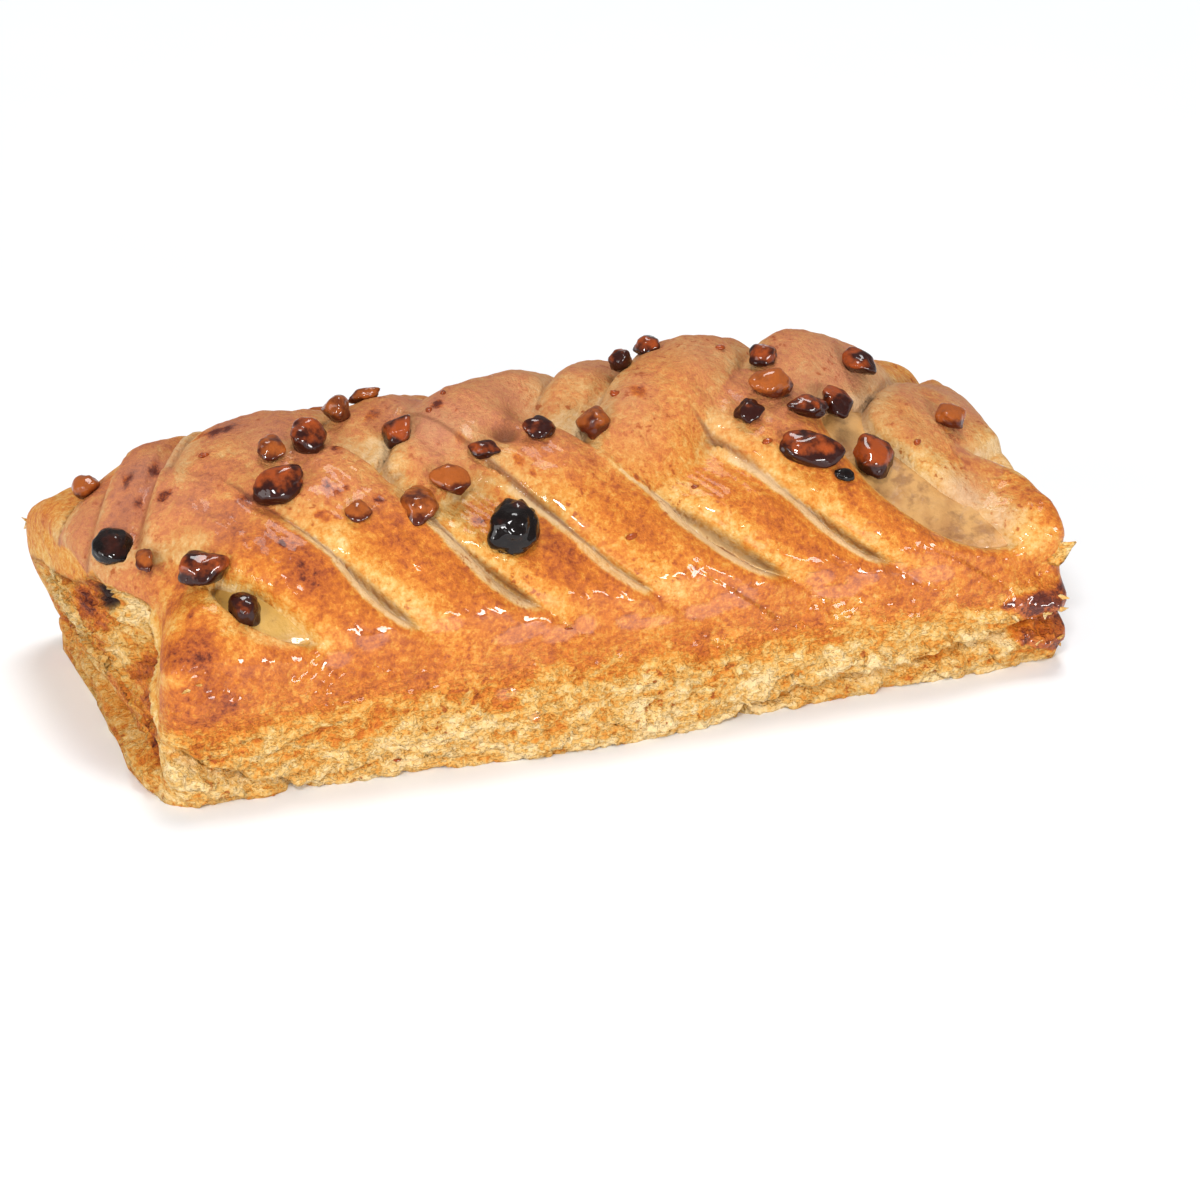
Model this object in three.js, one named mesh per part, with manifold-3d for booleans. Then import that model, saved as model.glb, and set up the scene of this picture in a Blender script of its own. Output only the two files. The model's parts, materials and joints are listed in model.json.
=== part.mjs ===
// Puff pastry braid, in millimetres: +Z up, +X along the braid, origin under its middle on the table.
//
// One sheet of dough carries a bar of nut filling. Its two long sides are cut into strips, which are
// folded across the filling by turns from the right end to the left, so that every second strip lies
// over its neighbours and the ones between are tucked under. Slits stay open between the strips and
// show the filling. Glazed nut pieces are strewn along the top.
//
// Every point of the crust is given by three numbers: x along the braid, q across it, and a relief in
// millimetres along the loaf's own normal. q is -2 at the front foot, -1 at the front shoulder, 0 on
// the ridge, 1 at the back shoulder and 2 at the back foot.

import * as THREE from "three";
import { mergeVertices } from "three/addons/utils/BufferGeometryUtils.js";
import Module from "manifold-3d";

const wasm = await Module();
wasm.setup();

// The loaf that the dough follows: half widths and heights of its section, and how they change along it
const LENGTH = 132;
const HALF_LENGTH = LENGTH / 2;
const FOOT = { out: 25.5, up: 4 }; // up and in are the lengths of the section's curve handles
const BELLY = { out: 29.5, in: 0.5 };
const SHOULDER = { out: 26.5, height: 21, down: 6, up: 4.5, in: 1.9 };
const SHOULDER_FALL = { by: 2.5, from: -10, run: 70 }; // lower towards the right end
const RIDGE = { height: 40, out: 12 };
const RIDGE_FALL = { left: 0.26, right: 0.42, from: 30, run: 44 }; // share of the height lost at each end
const BACK_FLARE = { share: 0.12, from: 30, run: 36 }; // the back widens towards the left end
const HEM = { reach: 4, at: -3, spread: 24, from: 1.35, run: 0.6 }; // the front foot spreads in its middle
const LIP = { reach: 4, from: 44, run: 22, behind: -24, depth: 36, above: 3, height: 14 };
const DROOP = { by: 3, from: 54, run: 14, above: 14, height: 14 };
const END_ROUNDING = 2.5;

// Dough and filling
const WALL = 4.5;
const FLOOR = 4;
const END_WALL = 9;
const GAP = 0.35; // clearance between pieces that touch
const ROOF_RELIEF = -0.9; // the crust between the strips, where it isn't open
const UNDERSIDE_RELIEF = -1.9; // the lower face of the strips
const FILLING_RELIEF = -2.5; // the top of the filling, seen in the slits
const CAVITY_RELIEF = 0.3; // clear of the roof, so that the shell is open to the strips
const OPEN_TO = 0.88; // as far as this q
const STRIP_END = 0.5; // the strips end this far inside the body

// The bottom sheet shows as a thin ledge under a groove
const SHEET_THICKNESS = 3.2;
const SHEET_HALF_WIDTH = 27.2;
const SHEET_HALF_LENGTH = 66.6;
const SHEET_CORNER = 7;
const SHEET_BEVEL = 0.9;
const GROOVE = { q: 1.82, rise: 0.2, width: 0.06, shallow: 0.5, deep: 1.6 };
const CRAGS = 0.35; // roughness of the flaky walls

// Strips: q counts from the ridge on both sides here
const EDGE_RELIEF = -0.9; // strip edges, beside a slit
const STRIP_FOOT = { start: 1.3, end: 0.86 }; // a strip leaves the wall and has its full height
const SLIT_FOOT = 1.02; // the slits end just over the shoulder
const FRONT_DIP = { by: 0.3, from: 0.7, run: 0.5 }; // share of a front strip's crown lost on its way up
const TUCK = { depth: 2.2, from: 0.4, run: 0.3 }; // an under strip sinks towards its tip
const TIP_FLAT = { left: 0.45, run: 0.45 }; // share of the crown left at a tip
const TIP_ROUNDING = 0.26; // length of a strip's rounded tip
const PILLOW = { power: 2.6, round: 0.55 };
const OVERLAP = 0.4; // how far strips run into each other where a slit is closed

// Slits, from left to right: foot is x at the shoulder, lean is how far the line runs to the left on its
// way to the ridge, gap is the widest opening and top the q where it has closed to a crease. crown is the
// height of the strip to the right of it and tip the q where that strip ends, past the ridge if negative.
// The first and last lines are the ends of the sheet.
const FRONT_SLITS = [
  { foot: -72, lean: 24, gap: 0, top: 0.5, crown: 1.2, tip: -0.06 },
  { foot: -45, lean: 24, gap: 5.5, top: 0.45, crown: 2.5, tip: 0.26 },
  { foot: -30, lean: 23, gap: 1.8, top: 0.6, crown: 2.7, tip: -0.06 },
  { foot: -12.5, lean: 25, gap: 1.6, top: 0.6, crown: 2.3, tip: 0.26 },
  { foot: 3.5, lean: 26, gap: 0.8, top: 0.7, crown: 2.6, tip: -0.06 },
  { foot: 23, lean: 33, gap: 2.8, top: 0.58, crown: 2.6, tip: 0.26 },
  { foot: 39, lean: 31, gap: 1.6, top: 0.65, crown: 2.9, tip: -0.06 },
  { foot: 56.5, lean: 28, gap: 10.5, top: 0.25, crown: 1.2, tip: 0.26 },
  { foot: 80, lean: 26, gap: 0, top: 0.5 },
];
const BACK_SLITS = [
  { foot: -66, lean: 26, gap: 0, top: 0.5, crown: 1, tip: -0.54 },
  { foot: -46, lean: 26, gap: 1.6, top: 0.55, crown: 1.4, tip: -0.26 },
  { foot: -29.5, lean: 26, gap: 2.2, top: 0.5, crown: 2, tip: -0.54 },
  { foot: -9.5, lean: 26, gap: 1.4, top: 0.6, crown: 1.7, tip: -0.26 },
  { foot: 4, lean: 26, gap: 2.4, top: 0.45, crown: 2.2, tip: -0.42 },
  { foot: 23, lean: 26, gap: 1.6, top: 0.55, crown: 1.9, tip: -0.26 },
  { foot: 33.5, lean: 26, gap: 2, top: 0.5, crown: 3.8, tip: -0.58 },
  { foot: 55.5, lean: 26, gap: 1.8, top: 0.55, crown: 5, tip: -0.26 },
  { foot: 75, lean: 26, gap: 1.2, top: 0.55, crown: 2.8, tip: -0.46 },
  { foot: 95, lean: 26, gap: 0, top: 0.5 },
];

// Hollows at the two ends, as ellipsoids: where the sheet was pinched, and a torn hole under the lip
const END_HOLLOWS = [
  { at: [-68.5, -2, 13], radii: [6, 20, 6] },
  { at: [-66, 5, 20], radii: [6, 2, 2.6] },
  { at: [68.5, 2, 11], radii: [5, 19, 5] },
];

// Loose flakes of crust, still fast at one end: root, tip, the way their width lies, width, thickness
const FLAKES = [
  { root: [62, -22, 17], tip: [69.6, -24, 20.5], wide: [0, 0, 1], width: 5, thickness: 1.2 },
  { root: [1, -27, 5], tip: [2, -31, 1.2], wide: [1, 0, 0], width: 6, thickness: 1.2 },
];

// Glazed nut pieces: x, q, length along, width across, height, turn in degrees, and tone from 0, pale
// honey, to 1, nearly black
const NUTS = [
  { x: -61.3, q: 0.34, size: [4.2, 4, 4.6], turn: 10, tone: 0.45 },
  { x: -63.6, q: -0.09, size: [5.2, 7.6, 4.6], turn: -35, tone: 0.95 },
  { x: -61.7, q: -0.28, size: [2.8, 5, 1.8], turn: -17, tone: 0.4 },
  { x: -57.1, q: -0.48, size: [7, 5.2, 4.2], turn: 20, tone: 0.7 },
  { x: -53.2, q: -0.69, size: [4.6, 4.8, 4], turn: 0, tone: 0.7 },
  { x: -44, q: -0.26, size: [8, 5.6, 4.2], turn: 18, tone: 0.65 },
  { x: -37.7, q: -0.09, size: [5.8, 5.2, 5], turn: -15, tone: 0.65 },
  { x: -43.3, q: -0.09, size: [4.8, 3.6, 2.8], turn: 25, tone: 0.35 },
  { x: -31.8, q: 0.07, size: [4, 3.8, 4.2], turn: 40, tone: 0.15 },
  { x: -25.9, q: 0.2, size: [4.4, 3.4, 2.4], turn: 0, tone: 0.3 },
  { x: -25.3, q: -0.11, size: [5.2, 4.6, 4.2], turn: 30, tone: 0.5 },
  { x: -35.3, q: -0.45, size: [3.8, 3, 1.4], turn: 10, tone: 0.2 },
  { x: -26, q: -0.46, size: [6.6, 6, 4], turn: -35, tone: 0.4 },
  { x: -21, q: -0.37, size: [4, 5.8, 2.6], turn: 35, tone: 0.25 },
  { x: -15.2, q: -0.28, size: [4.6, 2.8, 2.2], turn: -10, tone: 0.7 },
  { x: -14.2, q: -0.61, size: [7.6, 7.4, 5.4], turn: -25, tone: 1 },
  { x: -6.7, q: -0.25, size: [5.4, 3.4, 2.8], turn: 5, tone: 0.75 },
  { x: 1.5, q: -0.24, size: [5.4, 4.4, 3.6], turn: 8, tone: 0.3 },
  { x: 10.1, q: 0.06, size: [3.6, 3.6, 4], turn: 40, tone: 0.65 },
  { x: 15, q: 0.12, size: [3.9, 3.6, 3], turn: 0, tone: 0.65 },
  { x: 30, q: -0.03, size: [4.4, 4, 3.4], turn: 20, tone: 0.6 },
  { x: 27.8, q: -0.2, size: [6, 4.8, 4.2], turn: 30, tone: 0.15 },
  { x: 23.4, q: -0.3, size: [4.2, 3.6, 2.8], turn: 0, tone: 0.75 },
  { x: 32.6, q: -0.3, size: [5.4, 4, 3.2], turn: -20, tone: 0.7 },
  { x: 38.1, q: -0.23, size: [3.8, 6, 3.6], turn: 0, tone: 0.6 },
  { x: 44.6, q: -0.02, size: [6.6, 4.4, 3.2], turn: -25, tone: 0.65 },
  { x: 30.4, q: -0.47, size: [9, 5.2, 3.2], turn: -18, tone: 0.55 },
  { x: 40.8, q: -0.46, size: [5.6, 7.8, 4.2], turn: 10, tone: 0.5 },
  { x: 34.2, q: -0.57, size: [3, 2, 1.4], turn: 0, tone: 0.95 },
  { x: 56, q: -0.22, size: [5, 3.6, 3], turn: 0, tone: 0.4 },
];
const BACK_NUTS = { count: 7, from: -47, to: 50, near: 0.5, far: 0.86, smallest: 3.8, largest: 6.6 };
const NUT_SUNK = 0.22; // share of a nut's height below the crust
const NUT_ROUGHNESS = 0.08;

const SIDE = { front: -1, back: 1 };

// Smooth step from 0 to 1 as t goes from 0 to 1
function ease(t) {
  const s = Math.min(1, Math.max(0, t));
  return s * s * (3 - 2 * s);
}

// A repeatable number from 0 to 1 for a number and a seed
function draw(i, seed) {
  const wave = Math.sin(i * 12.9898 + seed * 78.233) * 43758.5453;
  return wave - Math.floor(wave);
}

function bezier(a, b, c, d, t) {
  const s = 1 - t;
  return s * s * s * a + 3 * s * s * t * b + 3 * s * t * t * c + t * t * t * d;
}

// How far x has gone into a change along the braid, from 0 to 1; sign is -1 for one at the left
function gone({ from, run }, x, sign = 1) {
  return ease((sign * x - from) / run);
}

function shoulderHeight(x) {
  return SHOULDER.height - SHOULDER_FALL.by * gone(SHOULDER_FALL, x);
}

function ridgeHeight(x) {
  const lost = RIDGE_FALL.right * gone(RIDGE_FALL, x) + RIDGE_FALL.left * gone(RIDGE_FALL, x, -1);
  return RIDGE.height * (1 - lost);
}

// The front foot's extra reach, a bump along the braid that fades out up the wall
function hemReach(x, w) {
  return HEM.reach * Math.exp(-(((x - HEM.at) / HEM.spread) ** 2)) * gone(HEM, w);
}

// The loaf's section: a bellied wall below the shoulder and a dome above it, as two Bezier curves
function section(x, q) {
  const w = Math.abs(q);
  const shoulder = shoulderHeight(x);
  let out;
  let z;
  if (w > 1) {
    out = bezier(FOOT.out, BELLY.out, BELLY.out - BELLY.in, SHOULDER.out, 2 - w);
    z = bezier(0, FOOT.up, shoulder - SHOULDER.down, shoulder, 2 - w);
  } else {
    const ridge = ridgeHeight(x);
    out = bezier(SHOULDER.out, SHOULDER.out - SHOULDER.in, RIDGE.out, 0, 1 - w);
    z = bezier(shoulder, shoulder + SHOULDER.up, ridge, ridge, 1 - w);
  }
  if (q < 0) return { y: -out - hemReach(x, w), z };
  return { y: out * (1 + BACK_FLARE.share * gone(BACK_FLARE, x, -1)), z };
}

// The outward normal of the section at q, in the plane across the braid
function normal(x, q) {
  const step = 1e-3;
  const a = section(x, q - step);
  const b = section(x, q + step);
  return new THREE.Vector3(0, a.z - b.z, b.y - a.y).normalize();
}

function crustPoint(x, q, relief) {
  const { y, z } = section(x, q);
  return new THREE.Vector3(x, y, z).addScaledVector(normal(x, q), relief);
}

// Solids between rings of points, each ring a closed loop, with both ends capped
function ringGeometry(rings) {
  const count = rings[0].length;
  const points = rings.flat();
  const faces = [];
  for (let i = 0; i + 1 < rings.length; i++) {
    for (let j = 0; j < count; j++) {
      const a = i * count + j;
      const b = i * count + ((j + 1) % count);
      faces.push(a, a + count, b, b, a + count, b + count);
    }
  }
  for (const [ring, turned] of [[0, false], [rings.length - 1, true]]) {
    const middle = rings[ring].reduce((sum, p) => sum.add(p), new THREE.Vector3()).divideScalar(count);
    const hub = points.push(middle) - 1;
    for (let j = 0; j < count; j++) {
      const a = ring * count + j;
      const b = ring * count + ((j + 1) % count);
      faces.push(...(turned ? [hub, b, a] : [hub, a, b]));
    }
  }
  return new THREE.BufferGeometry().setFromPoints(points).setIndex(faces);
}

// A closed geometry as a solid that can be joined and cut
function solidOf(geometry) {
  const bare = geometry.clone();
  bare.deleteAttribute("normal");
  bare.deleteAttribute("uv");
  const merged = mergeVertices(bare, 1e-4);
  return new wasm.Manifold(
    new wasm.Mesh({
      numProp: 3,
      vertProperties: merged.attributes.position.array,
      triVerts: new Uint32Array(merged.index.array),
    }),
  );
}

function geometryOf(solid) {
  const { vertProperties, triVerts } = solid.getMesh();
  const geometry = new THREE.BufferGeometry();
  geometry.setAttribute("position", new THREE.BufferAttribute(vertProperties, 3));
  geometry.setIndex(new THREE.BufferAttribute(triVerts, 1));
  geometry.computeVertexNormals();
  return geometry;
}

// The largest body of a solid, without loose bits and without bubbles shut in between strips
function largestBody(solid) {
  return solid.decompose().reduce((best, body) => (body.volume() > best.volume() ? body : best));
}

// Even steps from one value to another, both included
function steps(from, to, count) {
  return Array.from({ length: count + 1 }, (_, i) => from + ((to - from) * i) / count);
}

// x where a slit's line crosses q, on one side of the braid
function slitLine(slit, q, side) {
  return slit.foot - slit.lean * (1 - side * q);
}

// Half the slit's opening at q: a lens that closes at the shoulder and short of the ridge
function slitHalfGap(slit, q, side) {
  const t = (side * q - slit.top) / (SLIT_FOOT - slit.top);
  const lens = t > 0 && t < 1 ? Math.sqrt(Math.sin(Math.PI * t)) : 0;
  return (0.5 * slit.gap + OVERLAP) * lens - OVERLAP;
}

// The strips of one side. Even ones lie over the strips of the other side, odd ones under.
function makeStrips(slits, side) {
  return slits.slice(0, -1).map((left, index) => ({
    left,
    right: slits[index + 1],
    side,
    over: index % 2 === 0,
    tip: side * left.tip,
    crown: left.crown,
  }));
}

const strips = [...makeStrips(FRONT_SLITS, SIDE.front), ...makeStrips(BACK_SLITS, SIDE.back)];

// The strip's left and right edge at q, drawn together round its tip
function stripEdges({ left, right, side, tip }, q) {
  const low = slitLine(left, q, side) + slitHalfGap(left, q, side);
  const high = slitLine(right, q, side) - slitHalfGap(right, q, side);
  const round = Math.max(0, 1 - Math.max(0, side * (q - tip)) / TIP_ROUNDING);
  const middle = (low + high) / 2;
  const half = ((high - low) / 2) * Math.sqrt(1 - round * round);
  return { low: middle - half, high: middle + half };
}

// Relief of a strip's upper face, c running from -1 to 1 across it: a pillow that rises out of the wall,
// flattens towards its tip, and sinks there if it is tucked under
function stripRelief(strip, c, q) {
  const along = strip.side * q;
  const toTip = strip.side * (q - strip.tip);
  const risen = ease((STRIP_FOOT.start - along) / (STRIP_FOOT.start - STRIP_FOOT.end));
  const dip = strip.side === SIDE.front ? FRONT_DIP.by * ease((FRONT_DIP.from - along) / FRONT_DIP.run) : 0;
  const flat = TIP_FLAT.left + (1 - TIP_FLAT.left) * ease(toTip / TIP_FLAT.run);
  const tucked = strip.over ? 0 : TUCK.depth * ease((TUCK.from - toTip) / TUCK.run);
  const crown = strip.crown * (1 - dip) * flat - tucked;
  const pillow = Math.max(0, 1 - Math.abs(c) ** PILLOW.power) ** PILLOW.round;
  return EDGE_RELIEF + (crown - EDGE_RELIEF) * pillow * risen;
}

// Highest crust relief at a place, over all strips
function topRelief(x, q) {
  let top = ROOF_RELIEF;
  for (const strip of strips) {
    const along = strip.side * q;
    if (along > STRIP_FOOT.start || strip.side * (q - strip.tip) < 0) continue;
    const { low, high } = stripEdges(strip, q);
    if (x <= low || x >= high) continue;
    top = Math.max(top, stripRelief(strip, (2 * (x - low)) / (high - low) - 1, q));
  }
  return top;
}

const STRIP_COLUMNS = [-1, -0.9, -0.55, 0, 0.55, 0.9, 1];
const STRIP_UNDERSIDE = [1, 0, -1];
const STRIP_STEP = 0.16;
const TIP_ROWS = [1, 0.55, 0.18, 0.05]; // rings round the tip, the last just short of a point

// A strip as a ribbon: pillowed above, following the loaf below
function stripSolid(strip) {
  const { side, tip } = strip;
  const foot = side * STRIP_FOOT.start;
  const [tipStart, ...tipRows] = TIP_ROWS.map((t) => tip + side * TIP_ROUNDING * t);
  const count = Math.round(Math.abs(foot - tipStart) / STRIP_STEP);
  const rings = [...steps(foot, tipStart, count), ...tipRows].map((q) => {
    const { low, high } = stripEdges(strip, q);
    const at = (c, relief) => crustPoint(low + ((c + 1) / 2) * (high - low), q, relief);
    const upper = STRIP_COLUMNS.map((c) => at(c, stripRelief(strip, c, q)));
    const lower = STRIP_UNDERSIDE.map((c) => at(c, UNDERSIDE_RELIEF));
    return [...upper, ...lower];
  });
  return solidOf(ringGeometry(side === SIDE.front ? rings.reverse() : rings));
}

// Body of the loaf: flaky walls, ends and a thin roof, with a groove above the bottom sheet. The groove
// is deepest at the two ends and climbs towards the right.
const BODY_STEPS = 20;
const WALL_ROWS = [1.62, 1.45, 1.28, 1.12];
const ROOF_ROWS = [1, 0.9, 0.7, 0.4, 0.12];
const ROOF_EDGE = { start: 1.06, run: 0.16 };
const CRAG_FOOT = { start: 1.95, run: 0.1 }; // the foot itself stays straight
const GROOVE_DEEP = { left: { from: 35, run: 20 }, right: { from: 20, run: 30 } };
const GROOVE_CLIMB = { from: 20, run: 45 };

function grooveAt(x) {
  const ends = gone(GROOVE_DEEP.left, x, -1) + gone(GROOVE_DEEP.right, x);
  return {
    q: GROOVE.q - GROOVE.rise * gone(GROOVE_CLIMB, x),
    depth: GROOVE.shallow + (GROOVE.deep - GROOVE.shallow) * ends,
  };
}

// One half of a body ring from the foot up, as q and relief
function bodyHalf(x, seed) {
  const groove = grooveAt(x);
  const below = groove.q + GROOVE.width;
  const above = groove.q - GROOVE.width;
  const wall = [2, (2 + below) / 2, below, groove.q, above, ...WALL_ROWS].map((q, i) => {
    const crag = CRAGS * (2 * draw(7 * x + i, seed) - 1) * ease((CRAG_FOOT.start - q) / CRAG_FOOT.run);
    return [q, q === groove.q ? crag - groove.depth : crag];
  });
  const roof = ROOF_ROWS.map((q) => [q, ROOF_RELIEF * ease((ROOF_EDGE.start - q) / ROOF_EDGE.run)]);
  return [...wall, ...roof];
}

// Stations along the body as x and how far the section has shrunk, to round the ends
function bodyStations() {
  const inner = HALF_LENGTH - END_ROUNDING;
  const corner = [[HALF_LENGTH, END_ROUNDING], [HALF_LENGTH - 0.5 * END_ROUNDING, 0.3 * END_ROUNDING]];
  const left = corner.map(([x, shrunk]) => [-x, shrunk]);
  return [...left, ...steps(-inner, inner, BODY_STEPS).map((x) => [x, 0]), ...corner.reverse()];
}

function bodySolid() {
  const rings = bodyStations().map(([x, shrunk]) => {
    const front = bodyHalf(x, 31).map(([q, relief]) => crustPoint(x, -q, relief - shrunk));
    const back = bodyHalf(x, 32).map(([q, relief]) => crustPoint(x, q, relief - shrunk));
    return flatFooted([...front, ...back.reverse()], 0);
  });
  return solidOf(ringGeometry(rings));
}

// A ring with no point below the given height and its two feet on it
function flatFooted(ring, height) {
  for (const p of ring) p.z = Math.max(height, p.z);
  for (const foot of [ring[0], ring.at(-1)]) foot.z = height;
  return ring;
}

// The hollow for the filling, or the filling itself: floor, inner walls and a domed top
const CORE_STEPS = 14;
const CORE_WALL_ROWS = [1.72, 1.5, 1.25, 1.02];
const CORE_ROOF_ROWS = [OPEN_TO, 0.7, 0.4, 0.12];

function coreSolid(clearance, roofRelief, halfLength) {
  const wall = CORE_WALL_ROWS.map((q) => [q, -WALL - clearance]);
  const roof = CORE_ROOF_ROWS.map((q) => [q, roofRelief]);
  const half = [...wall, ...roof];
  const loop = [...half.map(([q, relief]) => [-q, relief]), ...half.reverse()];
  const rings = steps(-halfLength, halfLength, CORE_STEPS).map((x) => {
    const ring = loop.map(([q, relief]) => crustPoint(x, q, relief));
    return flatFooted(ring, FLOOR + clearance);
  });
  return solidOf(ringGeometry(rings));
}

// The bottom sheet: a thin slab with round corners and a worn edge
function sheetSolid() {
  const a = SHEET_HALF_LENGTH - SHEET_BEVEL;
  const b = SHEET_HALF_WIDTH - SHEET_BEVEL;
  const r = SHEET_CORNER;
  const outline = new THREE.Shape();
  outline.moveTo(-a + r, -b);
  outline.lineTo(a - r, -b).absarc(a - r, -b + r, r, -Math.PI / 2, 0);
  outline.lineTo(a, b - r).absarc(a - r, b - r, r, 0, Math.PI / 2);
  outline.lineTo(-a + r, b).absarc(-a + r, b - r, r, Math.PI / 2, Math.PI);
  outline.lineTo(-a, -b + r).absarc(-a + r, -b + r, r, Math.PI, 1.5 * Math.PI);
  const slab = new THREE.ExtrudeGeometry(outline, {
    depth: SHEET_THICKNESS - 2 * SHEET_BEVEL,
    bevelSize: SHEET_BEVEL,
    bevelThickness: SHEET_BEVEL,
    bevelSegments: 2,
    curveSegments: 5,
  });
  slab.translate(0, 0, SHEET_BEVEL);
  return solidOf(slab);
}

function ellipsoidSolid({ at, radii }) {
  const ball = new THREE.IcosahedronGeometry(1, 2);
  ball.scale(...radii);
  ball.translate(...at);
  return solidOf(ball);
}

// A flake: a thin flat spike from its root to its tip
function flakeSolid({ root, tip, wide, width, thickness }) {
  const from = new THREE.Vector3(...root);
  const to = new THREE.Vector3(...tip);
  const length = from.distanceTo(to);
  const spike = new THREE.ConeGeometry(1, length, 5);
  spike.translate(0, length / 2, 0);
  spike.scale(width / 2, 1, thickness / 2);
  const aim = to.clone().sub(from).normalize();
  const side = new THREE.Vector3(...wide);
  side.addScaledVector(aim, -aim.dot(side)).normalize();
  const flat = new THREE.Vector3().crossVectors(side, aim);
  spike.applyMatrix4(new THREE.Matrix4().makeBasis(side, aim, flat).setPosition(from));
  return solidOf(spike);
}

// The left end of the roof runs out over the back corner and sags; the point is moved in place
function sagPoint(p) {
  const [x, y, z] = p;
  const outward = gone(LIP, x, -1) * ease((y - LIP.behind) / LIP.depth) * ease((z - LIP.above) / LIP.height);
  const down = gone(DROOP, x, -1) * ease((z - DROOP.above) / DROOP.height);
  p[0] -= LIP.reach * outward;
  p[2] -= DROOP.by * down;
}

function boxSolid(...size) {
  return solidOf(new THREE.BoxGeometry(...size));
}

// Walls, floor and ends from the body, the strips across the top, the sheet below, the ends hollowed
function pastrySolid() {
  const cavity = coreSolid(0, CAVITY_RELIEF, HALF_LENGTH - END_WALL);
  const trim = boxSolid(LENGTH - 2 * STRIP_END, 4 * BELLY.out, 4 * RIDGE.height);
  const braid = strips.map(stripSolid).reduce((sum, strip) => sum.add(strip)).intersect(trim);
  let shell = bodySolid().subtract(cavity).add(sheetSolid());
  for (const hollow of END_HOLLOWS) shell = shell.subtract(ellipsoidSolid(hollow));
  for (const flake of FLAKES) shell = shell.add(flakeSolid(flake));
  return largestBody(shell.add(braid)).warp(sagPoint);
}

// A lumpy ball with two waves run over it, one per nut
function chunkGeometry(index) {
  const chunk = new THREE.IcosahedronGeometry(1, 1);
  const points = chunk.getAttribute("position");
  const v = new THREE.Vector3();
  const phase = [6 * draw(index, 1), 6 * draw(index, 2)];
  for (let i = 0; i < points.count; i++) {
    v.fromBufferAttribute(points, i);
    const lumps = Math.sin(3.1 * v.x + phase[0]) + Math.sin(2.7 * v.y + phase[1]) * Math.cos(3.3 * v.z);
    v.multiplyScalar(1 + NUT_ROUGHNESS * lumps);
    points.setXYZ(i, v.x, v.y, v.z);
  }
  return chunk;
}

// A nut piece, laid on the crust and cut clear of it all round
function nutSolid({ x, q, size, turn }, index, pastry) {
  const up = normal(x, q);
  const along = new THREE.Vector3(1, 0, 0).applyAxisAngle(up, THREE.MathUtils.degToRad(turn));
  const across = new THREE.Vector3().crossVectors(up, along);
  const middle = crustPoint(x, q, topRelief(x, q) + size[2] * (0.5 - NUT_SUNK)).toArray();
  sagPoint(middle);
  const chunk = chunkGeometry(index).scale(...size.map((span) => span / 2));
  chunk.applyMatrix4(new THREE.Matrix4().makeBasis(along, across, up).setPosition(...middle));
  let nut = solidOf(chunk);
  for (const way of [up, along, across, along.clone().negate(), across.clone().negate()]) {
    nut = nut.subtract(pastry.translate(way.clone().multiplyScalar(GAP).toArray()));
  }
  return largestBody(nut);
}

// Nut pieces on the side away from the camera, spread evenly with a seeded draw
function backNuts() {
  const { count, from, to, near, far, smallest, largest } = BACK_NUTS;
  return steps(from, to, count - 1).map((x, i) => {
    const span = smallest + (largest - smallest) * draw(i, 21);
    return {
      x: x + 6 * (draw(i, 22) - 0.5),
      q: near + (far - near) * draw(i, 23),
      size: [span, span * (0.75 + 0.3 * draw(i, 24)), span * 0.7],
      turn: 180 * draw(i, 25),
      tone: 0.2 + 0.7 * draw(i, 26),
    };
  });
}

const CRUST = new THREE.MeshStandardMaterial({ color: 0xcf8c45, roughness: 0.55, metalness: 0 });
const FILLING = new THREE.MeshStandardMaterial({ color: 0xb8a06c, roughness: 0.35, metalness: 0 });
const HONEY = new THREE.Color(0xb5682a);
const BURNT = new THREE.Color(0x24100a);

function nutMaterial(tone) {
  const color = HONEY.clone().lerp(BURNT, tone);
  return new THREE.MeshStandardMaterial({ color, roughness: 0.25, metalness: 0 });
}

// Moves every piece so that the braid stands over the origin
function centre(group) {
  const middle = new THREE.Box3().setFromObject(group).getCenter(new THREE.Vector3());
  for (const mesh of group.children) mesh.geometry.translate(-middle.x, -middle.y, 0);
  return group;
}

function namedMesh(name, solid, material) {
  const mesh = new THREE.Mesh(geometryOf(solid), material);
  mesh.name = name;
  return mesh;
}

const pastry = pastrySolid();
const fillingHalfLength = HALF_LENGTH - END_WALL - GAP;
const braid = new THREE.Group();
braid.add(namedMesh("pastry", pastry, CRUST));
braid.add(namedMesh("filling", coreSolid(GAP, FILLING_RELIEF, fillingHalfLength).warp(sagPoint), FILLING));
[...NUTS, ...backNuts()].forEach((nut, i) => {
  const name = `nut_${String(i + 1).padStart(2, "0")}`;
  braid.add(namedMesh(name, nutSolid(nut, i, pastry), nutMaterial(nut.tone)));
});

export default centre(braid);
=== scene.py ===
"""Dresses the puff pastry braid: flaky glazed crust, filling, nut pieces, flakes, table, light and camera.

Shapes are worked out in millimetres, in the braid's own frame: x along it, y across, z up. Every point of
the crust is given by x, by q across the braid and by a relief along the loaf's normal. q is -2 at the front
foot, -1 at the front shoulder, 0 on the ridge, 1 at the back shoulder and 2 at the back foot.
"""

import json
from collections import namedtuple

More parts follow.
